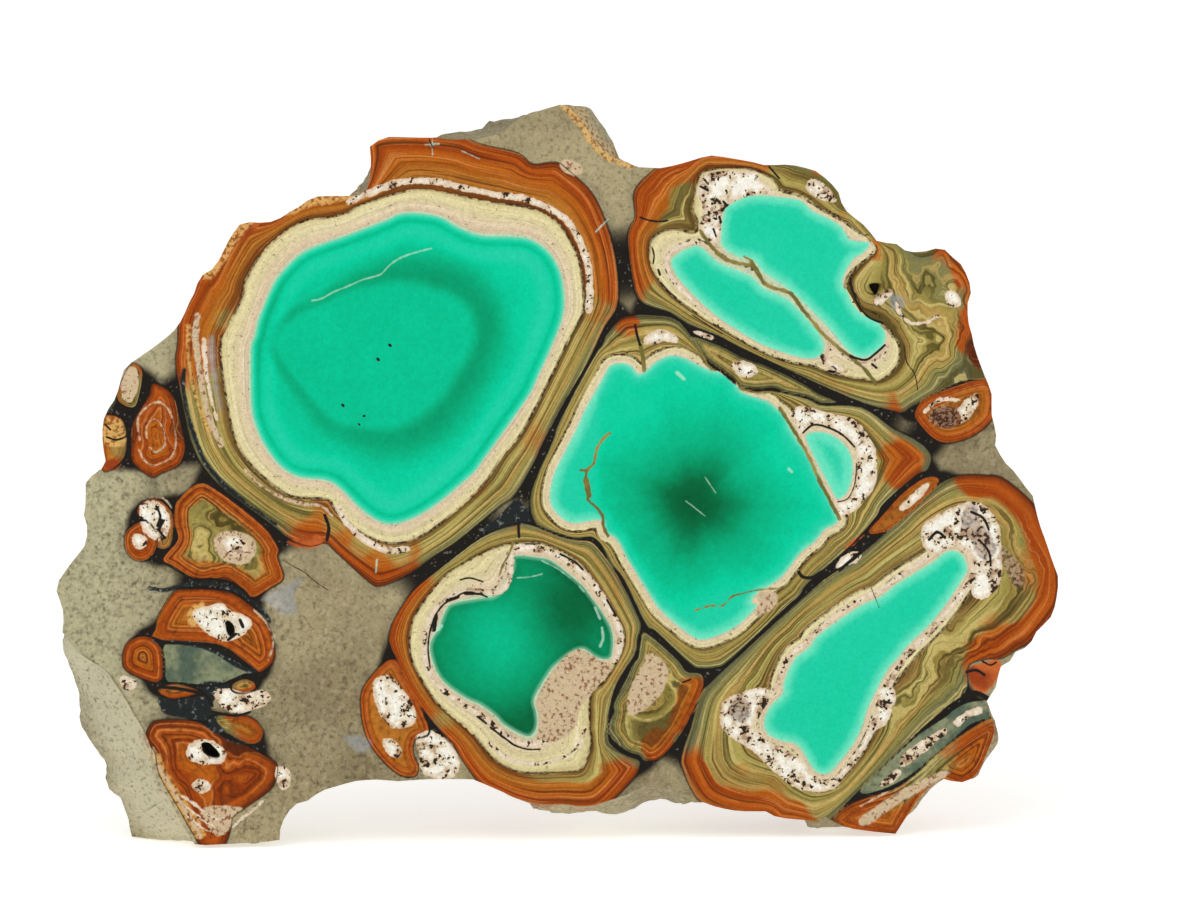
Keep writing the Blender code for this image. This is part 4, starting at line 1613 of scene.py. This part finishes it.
    def _ragged(self) -> Value:
        """Makes the unevenness of patches' edges."""
        return (self.noises[Grain.FINE] - 0.5) * 1.1 + (self.noises[Grain.SOFT] - 0.5) * 0.8

    def _matrix(self, edge: Value) -> Value:
        """Colours the limestone between the nodules.

        Args:
            edge: Depth inside the nearest nodule.

        Returns:
            The colour.
        """
        bench, noises, soft = self.bench, self.noises, self.noises[Grain.SOFT]
        gap = bench.attribute("gap")
        stone = bench.mix(noises[Grain.WIDE].eased(0.36, 0.64), self.matrix_dark, self.matrix)
        stone = bench.mix(soft.eased(0.52, 0.72) * 0.16, stone, self.matrix_sandy)
        stone = bench.mix(bench.attribute("left") * 0.75, stone, self.matrix_left)
        facet = bench.attribute("facet") + (soft - 0.5) * 0.8
        stone = bench.mix(facet.eased(-0.2, 0.4) * 0.75, stone, self.broken_left)
        stone = bench.mix(abs(facet).eased(0.5, 0.1) * 0.6, stone, self.broken_edge)
        stone = self._streaked(stone, self.stone_streaks)
        near = (edge + (soft - 0.5) * 2.0).eased(-2.6, -0.2) * gap.eased(16.0, 5.0)
        stone = bench.mix(near * 0.3, stone, self.matrix_shade)
        sooty = bench.mix(noises[Grain.FLECKS].eased(0.62, 0.74) * 0.8, self.black, self.black_fleck)
        return bench.mix(gap.eased(5.2, 2.8), stone, sooty)

    def _rind(self) -> Value:
        """Colours the banded rinds and the cream inside them.

        Returns:
            The colour.
        """
        bench, soft = self.bench, self.noises[Grain.SOFT]
        layer, orange = bench.attribute("layer"), bench.attribute("orange")
        seed, swirl = bench.attribute("seed"), bench.attribute("swirl")
        wave = (bench.grain(60.0, 2.0, (0.5, 0.5, 0.1)) - 0.5) * 0.22
        stir = (bench.grain(95.0, 3.0, (0.4, 0.1, 0.9)) - 0.5) * swirl * 1.7
        bent = (layer.least(1.0) + wave * 0.5 + stir * 0.6).most(0.0)
        lines = bench.bands(layer * 11.0 + stir * 9.0 + seed * 3.7, 30.0)
        threads = bench.bands(layer * 26.0 + stir * 16.0 + seed * 5.3, 40.0)
        self.noises |= {Grain.LINES: lines, Grain.THREADS: threads}
        rust = self._streaked(bench.ramp(bent, self.orange), self.orange_streaks)
        olive = self._streaked(bench.ramp(bent, self.olive), self.olive_streaks)
        turn = orange + (soft - 0.5) * 0.9 + stir * 0.3 + (lines - 0.5) * 1.5
        rind = bench.mix(turn.eased(0.05, 0.95), olive, rust)
        mossy = bench.mix(soft.eased(0.4, 0.6), self.moss, self.moss_pale)
        rind = bench.mix(orange.eased(-1.2, -1.6), rind, mossy)
        cream = bench.ramp((layer - 1.0).most(0.0), self.cream)
        cream = self._streaked(cream, self.cream_streaks)
        return bench.mix((layer + wave * 0.1).eased(0.97, 1.01), rind, cream)

    def _core(self, core_in: Value) -> Value:
        """Colours the green cores.

        Args:
            core_in: Depth inside the core.

        Returns:
            The colour.
        """
        bench = self.bench
        cloud = (self.noises[Grain.SOFT] - 0.5) * 0.10 + (self.noises[Grain.FINE] - 0.5) * 0.07
        green = bench.ramp(bench.attribute("tone") + cloud, self.green)
        return bench.mix(core_in.eased(0.85, 0.0) * 0.45, green, self.halo)

    def _chalked(self, colour: Value) -> Value:
        """Lays the white chalk with its pores over the nodules.

        Args:
            colour: The colour so far.

        Returns:
            The colour with the chalk.
        """
        bench, ragged = self.bench, self._ragged()
        pores, clumps = self.noises[Grain.PORES], self.noises[Grain.CLUMPS]
        depth = bench.attribute("chalk")
        ground = bench.mix(clumps.eased(0.42, 0.58), self.chalk, self.chalk_warm)
        ground = bench.mix((depth + ragged).eased(1.1, 0.2) * 0.7, ground, self.chalk_edge)
        ground = bench.mix(clumps.eased(0.57, 0.68) * 0.75, ground, self.chalk_clump)
        porous = bench.mix((pores + (clumps - 0.5) * 0.7).eased(0.60, 0.65), ground, self.chalk_pore)
        return bench.mix((depth + ragged * 0.8).eased(-0.10, 0.16), colour, porous)


@dataclass(frozen=True)
class BrokenStone:
    """The broken limestone on the sides and back, with rusty rinds where nodules reach it."""

    matrix: Colour = (174, 163, 128)
    matrix_dark: Colour = (146, 134, 101)
    matrix_pale: Colour = (190, 180, 146)
    facet: Colour = (204, 197, 166)
    rust: Colour = (150, 96, 58)
    rust_dark: Colour = (116, 74, 46)
    ochre: Colour = (172, 132, 86)
    golden: Colour = (222, 190, 132)
    golden_pore: Colour = (168, 118, 66)
    pore: Colour = (84, 72, 56)
    crystal: Colour = (214, 202, 172)
    front_full: float = -14.0 * MM
    front_end: float = -8.0 * MM

    def build(self) -> bpy.types.Material:
        """Makes the material.

        Returns:
            The material.
        """
        bench = Bench("broken_stone")
        wide = bench.grain(45.0, 5.0, (0.2, 0.3, 0.8))
        soft = bench.grain(260.0, 5.0, (0.6, 0.1, 0.4))
        fine = bench.grain(1300.0, 3.0, (0.1, 0.7, 0.2))
        skin = bench.grain(75.0, 5.0, (0.9, 0.6, 0.3))
        place = bench.node("ShaderNodeSeparateXYZ", None, {0: bench.place()})
        front = Value(bench, place.outputs["Y"]).eased(self.front_end, self.front_full)
        stone = bench.mix(wide.eased(0.35, 0.65), self.matrix_dark, self.matrix)
        stone = bench.mix(soft.eased(0.50, 0.68) * 0.5, stone, self.matrix_pale)
        facet = (bench.attribute("facet") + (soft - 0.5) * 2.0).eased(-2.0, 0.4) * front
        stone = bench.mix(facet * 0.75, stone, self.facet)
        crust = bench.mix(soft.eased(0.28, 0.72), self.rust_dark, self.rust)
        crust = bench.mix(wide.eased(0.44, 0.68) * 0.75, crust, self.ochre)
        crust = bench.mix((skin + (soft - 0.5) * 0.4).eased(0.48, 0.62) * 0.8, crust, stone)
        edge = bench.attribute("edge") + (wide - 0.5) * 9.0 + (soft - 0.5) * 4.0
        colour = bench.mix(edge.eased(-0.6, 1.8), stone, crust)
        strips = (bench.attribute("ochre") + (soft - 0.5) * 3.0).eased(-1.2, 0.8) * 0.7 * front
        golden = bench.mix(fine.eased(0.45, 0.6), self.golden, self.golden_pore)
        colour = bench.mix(strips, colour, golden)
        colour = bench.mix(fine.eased(0.54, 0.70) * 0.55, colour, self.pore)
        colour = bench.mix(fine.eased(0.46, 0.34) * 0.35, colour, self.crystal)
        bench.feed(bench.shader.inputs["Base Color"], colour)
        bench.feed(bench.shader.inputs["Roughness"], 0.82 + (fine - 0.5) * 0.15)
        bench.bump(fine * 0.6 + soft, strength=0.9, distance=1.1 * MM)
        return bench.material


@dataclass
class Slab:
    """The stone: a broken shell behind a polished face of fine triangles."""

    drawing: Drawing = field(default_factory=Drawing)
    node: str = "variscite_slab"
    name: str = "variscite_stone"
    face_step: float = 0.56 * MM
    refine: int = 1
    rough_from: float = 0.3 * MM
    rough_by: float = 5.0 * MM
    lump: float = 0.9 * MM
    chip: float = 0.45 * MM
    lump_pitch: float = 160.0
    chip_pitch: float = 260.0
    behind: tuple[float, float] = (0.4 * MM, 3.5 * MM)
    pit_edge: tuple[float, float] = (-0.8, 4.5)
    join: float = 0.01 * MM
    floor_snap: float = 0.15 * MM
    map_margin: float = 0.002
    map_split: float = 0.758

    def build(self) -> bpy.types.Object:
        """Makes the stone.

        Returns:
            The finished piece.
        """
        stone = self._shell()
        self._refine(stone)
        self._break(stone)
        self._fill_face(stone)
        self._store_pattern(stone)
        self._unwrap(stone)
        self._dress(stone)
        return stone

    def _shell(self) -> bpy.types.Object:
        """Copies the solid, merges its points and takes its flat face away.

        Returns:
            An open shell whose edge lies in the face's plane.
        """
        stone = bpy.data.objects.new(self.name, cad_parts[self.node].data.copy())
        stone.data.materials.clear()
        bpy.context.scene.collection.objects.link(stone)
        stone.data.transform(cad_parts[self.node].matrix_world)
        select_only(stone)
        bpy.ops.object.mode_set(mode="EDIT")
        bpy.ops.mesh.select_all(action="SELECT")
        bpy.ops.mesh.remove_doubles(threshold=self.join)
        bpy.ops.object.mode_set(mode="OBJECT")
        bm = bmesh.new()
        bm.from_mesh(stone.data)
        self.plane = min(vert.co.y for vert in bm.verts)
        flat = [f for f in bm.faces if all(v.co.y < self.plane + 2 * self.join for v in f.verts)]
        bmesh.ops.delete(bm, geom=flat, context="FACES")
        shell = self._piece_of(max(bm.verts, key=lambda vert: vert.co.y))
        bmesh.ops.delete(bm, geom=[v for v in bm.verts if v not in shell], context="VERTS")
        bm.to_mesh(stone.data)
        bm.free()
        return stone

    def _piece_of(self, start: bmesh.types.BMVert) -> set[bmesh.types.BMVert]:
        """Finds all that is joined to a point.

        Args:
            start: A point.

        Returns:
            Its piece's points.
        """
        found, waiting = {start}, [start]
        while waiting:
            for edge in waiting.pop().link_edges:
                for vert in edge.verts:
                    if vert not in found:
                        found.add(vert)
                        waiting.append(vert)
        return found

    def _refine(self, stone: bpy.types.Object) -> None:
        """Divides the shell's faces into smaller ones.

        Args:
            stone: The shell.
        """
        select_only(stone)
        bpy.ops.object.mode_set(mode="EDIT")
        bpy.ops.mesh.select_all(action="SELECT")
        bpy.ops.mesh.tris_convert_to_quads(face_threshold=0.9, shape_threshold=0.9)
        bpy.ops.object.mode_set(mode="OBJECT")
        rounded = stone.modifiers.new("refined", "SUBSURF")
        rounded.subdivision_type = "SIMPLE"
        rounded.levels = self.refine
        rounded.render_levels = self.refine
        bpy.ops.object.modifier_apply(modifier=rounded.name)

    def _break(self, stone: bpy.types.Object) -> None:
        """Roughens the shell behind its edge, and keeps it on the floor and in its box.

        Args:
            stone: The piece.
        """
        low, high = (Vector(corner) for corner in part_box(self.node))
        pushes = self._pushes(stone)
        for vert, normal, push in zip(stone.data.vertices, stone.data.vertex_normals, pushes):
            part = (vert.co.y - self.plane - self.rough_from) / self.rough_by
            part = min(1.0, max(0.0, part))
            lump = noise.fractal(vert.co * self.lump_pitch, 0.8, 2.0, 4) * 0.6 - 0.35
            nearest, second = noise.voronoi(vert.co * self.chip_pitch)[0][:2]
            chip = min(second - nearest, 0.45) - 0.3
            vert.co += normal.vector * (lump * self.lump + chip * self.chip) * part
            vert.co.x += push[0]
            vert.co.z += push[1]
            vert.co.x = min(high.x, max(low.x, vert.co.x))
            vert.co.y = min(high.y, vert.co.y)
            vert.co.z = min(high.z, max(low.z, vert.co.z))
            if vert.co.z < self.floor_snap:
                vert.co.z = 0.0

    def _pushes(self, stone: bpy.types.Object) -> np.ndarray:
        """Works out how far each point behind the face is pushed right and up.

        Args:
            stone: The shell.

        Returns:
            Metres right and up, one row each.
        """
        places = places_of(stone.data)
        drawn = self.drawing.drawn(places[:, [0, 2]])
        behind = eased(places[:, 1] - self.plane, *self.behind)
        found = np.zeros((len(places), 2))
        for bulge in BULGES:
            part = behind * around(drawn, bulge.x, bulge.y, bulge.radius * 0.45, bulge.radius)
            found += part[:, None] * np.array([bulge.right, bulge.up])
        return found

    def _edge_loop(self, bm: bmesh.types.BMesh) -> list[bmesh.types.BMVert]:
        """Follows the open edge once round.

        Args:
            bm: The shell.

        Returns:
            Its points in order.
        """
        start = next(edge for edge in bm.edges if edge.is_boundary).verts[0]
        loop, last = [start], None
        while True:
            ways = [edge.other_vert(loop[-1]) for edge in loop[-1].link_edges if edge.is_boundary]
            ahead = next(vert for vert in ways if vert is not last)
            if ahead is start:
                return loop
            last = loop[-1]
            loop.append(ahead)

    def _fill_face(self, stone: bpy.types.Object) -> None:
        """Closes the shell with a flat face of fine triangles, pressed in at the pits.

        Args:
            stone: The piece.
        """
        bm = bmesh.new()
        bm.from_mesh(stone.data)
        for face in bm.faces:
            face.material_index = 1
            face.smooth = True
        loop = self._edge_loop(bm)
        for vert in loop:
            vert.co.y = self.plane
        outline = np.array([(vert.co.x, vert.co.z) for vert in loop])
        edges = [(at, (at + 1) % len(loop)) for at in range(len(loop))]
        border = Line(tuple(map(tuple, outline)), closed=True, pieces=1)
        places = outline
        for line in self._thin_lines(border):
            edges += [(len(places) + at, len(places) + at + 1) for at in range(len(line) - 1)]
            places = np.concatenate([places, line])
        inner = self._grid(border, places[len(loop):])
        points = [Vector(point) for point in np.concatenate([places, inner]).tolist()]
        sheet = geometry.delaunay_2d_cdt(points, edges, [], 1, 1e-8)
        verts = []
        for point, origins in zip(sheet[0], sheet[3]):
            on_edge = [origin for origin in origins if origin < len(loop)]
            verts.append(loop[on_edge[0]] if on_edge else bm.verts.new((point.x, self.plane, point.y)))
        for corners in sheet[2]:
            face = bm.faces.new([verts[at] for at in corners])
            face.material_index = 0
            face.smooth = True
        for vert in [vert for vert in verts if not vert.link_faces]:
            bm.verts.remove(vert)
        for edge in bm.edges:
            kinds = {face.material_index for face in edge.link_faces}
            edge.smooth = len(kinds) < 2
        bmesh.ops.recalc_face_normals(bm, faces=bm.faces)
        bm.to_mesh(stone.data)
        bm.free()
        self._press_pits(stone)

    def _thin_lines(self, border: Line) -> list[np.ndarray]:
        """Finds where thin lines run, so that the face has points along them.

        Args:
            border: The face's edge.

        Returns:
            X and Z of each line's points.
        """
        marks = Markings()
        lines = []
        for mark in marks.vein + marks.crack + marks.pale + marks.chalk + marks.slate + marks.pink:
            if mark.width == 0.0:
                continue
            curve = Line(mark.points, closed=False, pieces=3).points
            line = np.array([self.drawing.real(x, y) for x, y in curve])
            line = line[border.depth(line, 4 * self.face_step) > 0.6 * self.face_step]
            apart = np.hypot(*np.diff(line, axis=0).T) if len(line) > 1 else np.zeros(0)
            if len(line) > 1 and apart.max() < 0.02:
                lines.append(line)
        return lines

    def _grid(self, border: Line, taken: np.ndarray) -> np.ndarray:
        """Spreads points evenly over the face.

        Args:
            border: The face's edge.
            taken: X and Z of points that are already there.

        Returns:
            X and Z of the points inside it.
        """
        low, high = border.low, border.high
        rows = np.arange(low[1], high[1], self.face_step * math.sqrt(0.75))
        columns = np.arange(low[0], high[0], self.face_step)
        x = columns[None, :] + (np.arange(len(rows)) % 2)[:, None] * self.face_step / 2
        points = np.column_stack([x.ravel(), np.repeat(rows, len(columns))])
        points = points[border.depth(points, self.face_step * 2) > self.face_step * 0.45]
        tree = kdtree.KDTree(len(taken))
        for at, (x, z) in enumerate(taken):
            tree.insert((x, z, 0.0), at)
        tree.balance()
        free = [tree.find((x, z, 0.0))[2] > self.face_step * 0.4 for x, z in points]
        return points[np.array(free)]

    def _press_pits(self, stone: bpy.types.Object) -> None:
        """Presses the small hollows into the face.

        Args:
            stone: The piece.
        """
        mesh = stone.data
        places = places_of(mesh)
        flat = np.flatnonzero(places[:, 1] < self.plane + self.join)
        drawn = self.drawing.drawn(places[flat][:, [0, 2]])
        for pit in PITS:
            inside = Line(pit.points, True).depth(drawn, 4.0)
            places[flat, 1] += pit.depth * eased(inside, *self.pit_edge)
        mesh.vertices.foreach_set("co", places.ravel())
        mesh.update()

    def _store_pattern(self, stone: bpy.types.Object) -> None:
        """Stores the pattern's values on the points.

        Args:
            stone: The piece.
        """
        pattern = FacePattern(self.drawing).measure(places_of(stone.data)[:, [0, 2]])
        for name, values in pattern.items():
            stored = stone.data.attributes.new(name, "FLOAT", "POINT")
            stored.data.foreach_set("value", values.astype(np.float32))

    def _unwrap(self, stone: bpy.types.Object) -> None:
        """Lays the face out flat on the map OFBake, and the broken side in a strip above it.

        Args:
            stone: The piece.
        """
        mesh = stone.data
        mesh.uv_layers.new(name="OFBake")
        select_only(stone)
        bpy.ops.object.mode_set(mode="EDIT")
        bpy.ops.mesh.select_all(action="DESELECT")
        bpy.ops.object.mode_set(mode="OBJECT")
        broken = np.empty(len(mesh.polygons), dtype=np.int32)
        mesh.polygons.foreach_get("material_index", broken)
        mesh.polygons.foreach_set("select", broken == 1)
        bpy.ops.object.mode_set(mode="EDIT")
        bpy.ops.uv.smart_project(angle_limit=math.radians(60.0), island_margin=self.map_margin)
        bpy.ops.object.mode_set(mode="OBJECT")
        layer = mesh.uv_layers["OFBake"]
        loops = np.empty(len(mesh.loops), dtype=np.int32)
        mesh.loops.foreach_get("vertex_index", loops)
        counts = np.empty(len(mesh.polygons), dtype=np.int32)
        mesh.polygons.foreach_get("loop_total", counts)
        places = places_of(mesh)[loops][:, [0, 2]]
        low = places.min(axis=0)
        margin, width = self.map_margin, 1.0 - 2.0 * self.map_margin
        flat = (places - low) / (places[:, 0].max() - low[0]) * width + margin
        spots = np.empty(len(mesh.loops) * 2)
        layer.uv.foreach_get("vector", spots)
        height = 1.0 - 2.0 * margin - self.map_split
        spots = spots.reshape(-1, 2) * (width, height) + (margin, self.map_split)
        rest = np.repeat(broken == 1, counts)[:, None]
        layer.uv.foreach_set("vector", np.where(rest, spots, flat).ravel())

    def _dress(self, stone: bpy.types.Object) -> None:
        """Gives the stone its two finishes and its place in the frame.

        Args:
            stone: The piece.
        """
        stone.data.materials.append(PolishedFace().build())
        stone.data.materials.append(BrokenStone().build())
        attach(stone, "root")
        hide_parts(self.node)
        LOG.info("%s: %d faces", stone.name, len(stone.data.polygons))


def places_of(mesh: bpy.types.Mesh) -> np.ndarray:
    """Reads where the points of a mesh are.

    Args:
        mesh: The mesh.

    Returns:
        X, Y and Z in metres, one row each.
    """
    places = np.empty(len(mesh.vertices) * 3)
    mesh.vertices.foreach_get("co", places)
    return places.reshape(-1, 3)


def select_only(item: bpy.types.Object) -> None:
    """Selects one object alone and makes it the active one.

    Args:
        item: The object.
    """
    bpy.ops.object.select_all(action="DESELECT")
    item.select_set(True)
    bpy.context.view_layer.objects.active = item


@dataclass
class Studio:
    """The floor, the light and the camera."""

    drawing: Drawing = field(default_factory=Drawing)
    image_width: float = 1200.0
    image_height: float = 912.0
    lens: float = 500.0
    sensor: float = 36.0
    floor_size: float = 6.0
    floor_colour: Colour = (248, 248, 246)
    world_light: float = 0.5
    key_power: float = 3.9
    fill_power: float = 1.0
    floor_glow: float = 0.56
    aim_height: float = 0.07
    clip_end: float = 20.0

    def build(self) -> None:
        """Sets up the floor, the light and the camera."""
        self._floor()
        self._lights()
        self._camera()

    def _floor(self) -> None:
        """Lays a plain pale floor."""
        bpy.ops.object.select_all(action="DESELECT")
        bpy.ops.mesh.primitive_plane_add(size=self.floor_size, location=(0.0, 0.0, 0.0))
        floor = bpy.context.object
        floor.name = "floor"
        bench = Bench("floor_white")
        bench.feed(bench.shader.inputs["Base Color"], tint(self.floor_colour))
        bench.feed(bench.shader.inputs["Roughness"], 0.9)
        bench.feed(bench.shader.inputs["Specular IOR Level"], 0.1)
        bench.feed(bench.shader.inputs["Emission Color"], tint(self.floor_colour))
        bench.feed(bench.shader.inputs["Emission Strength"], self.floor_glow)
        floor.data.materials.append(bench.material)
        LOG.info("floor laid")

    def _lights(self) -> None:
        """Lights the stone softly from all round, with a wide light above and in front."""
        scene = bpy.context.scene
        world = bpy.data.worlds.new("soft_white")
        world.use_nodes = True
        ground = world.node_tree.nodes["Background"]
        ground.inputs["Color"].default_value = (1.0, 1.0, 1.0, 1.0)
        ground.inputs["Strength"].default_value = self.world_light
        scene.world = world
        scene.view_settings.view_transform = "Standard"
        for name, place, size, power in (
            ("key", (-0.35, -0.60, 1.05), 0.9, self.key_power),
            ("fill", (0.7, -0.6, 0.5), 0.8, self.fill_power),
        ):
            light = bpy.data.lights.new(name, "AREA")
            light.size = size
            light.energy = power
            lamp = bpy.data.objects.new(name, light)
            lamp.location = place
            aim = Vector((0.0, 0.0, self.aim_height)) - Vector(place)
            lamp.rotation_euler = aim.to_track_quat("-Z", "Y").to_euler()
            scene.collection.objects.link(lamp)
        LOG.info("lights set")

    def _camera(self) -> None:
        """Points a long lens at the face from a little above and to the left."""
        camera = bpy.data.objects.new("camera", bpy.data.cameras.new("camera"))
        camera.data.lens = self.lens
        camera.data.sensor_width = self.sensor
        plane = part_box("variscite_slab")[0][1]
        across, up = self.drawing.real(self.image_width / 2, self.image_height / 2)
        aim = Vector((across, plane, up))
        turn, rise = self.drawing.turn, self.drawing.rise
        back = Vector((-math.sin(turn) * math.cos(rise), -math.cos(turn) * math.cos(rise), math.sin(rise)))
        reach = self.image_width * self.drawing.unit * self.lens / self.sensor
        camera.location = aim + back * reach
        camera.rotation_euler = (-back).to_track_quat("-Z", "Y").to_euler()
        camera.data.clip_end = self.clip_end
        bpy.context.scene.collection.objects.link(camera)
        bpy.context.scene.camera = camera
        LOG.info("camera set")


def main() -> None:
    """Builds the studio and the stone."""
    logging.basicConfig(level=logging.INFO, format="%(name)s: %(message)s")
    Studio().build()
    Slab().build()


if __name__ == "__main__":
    main()
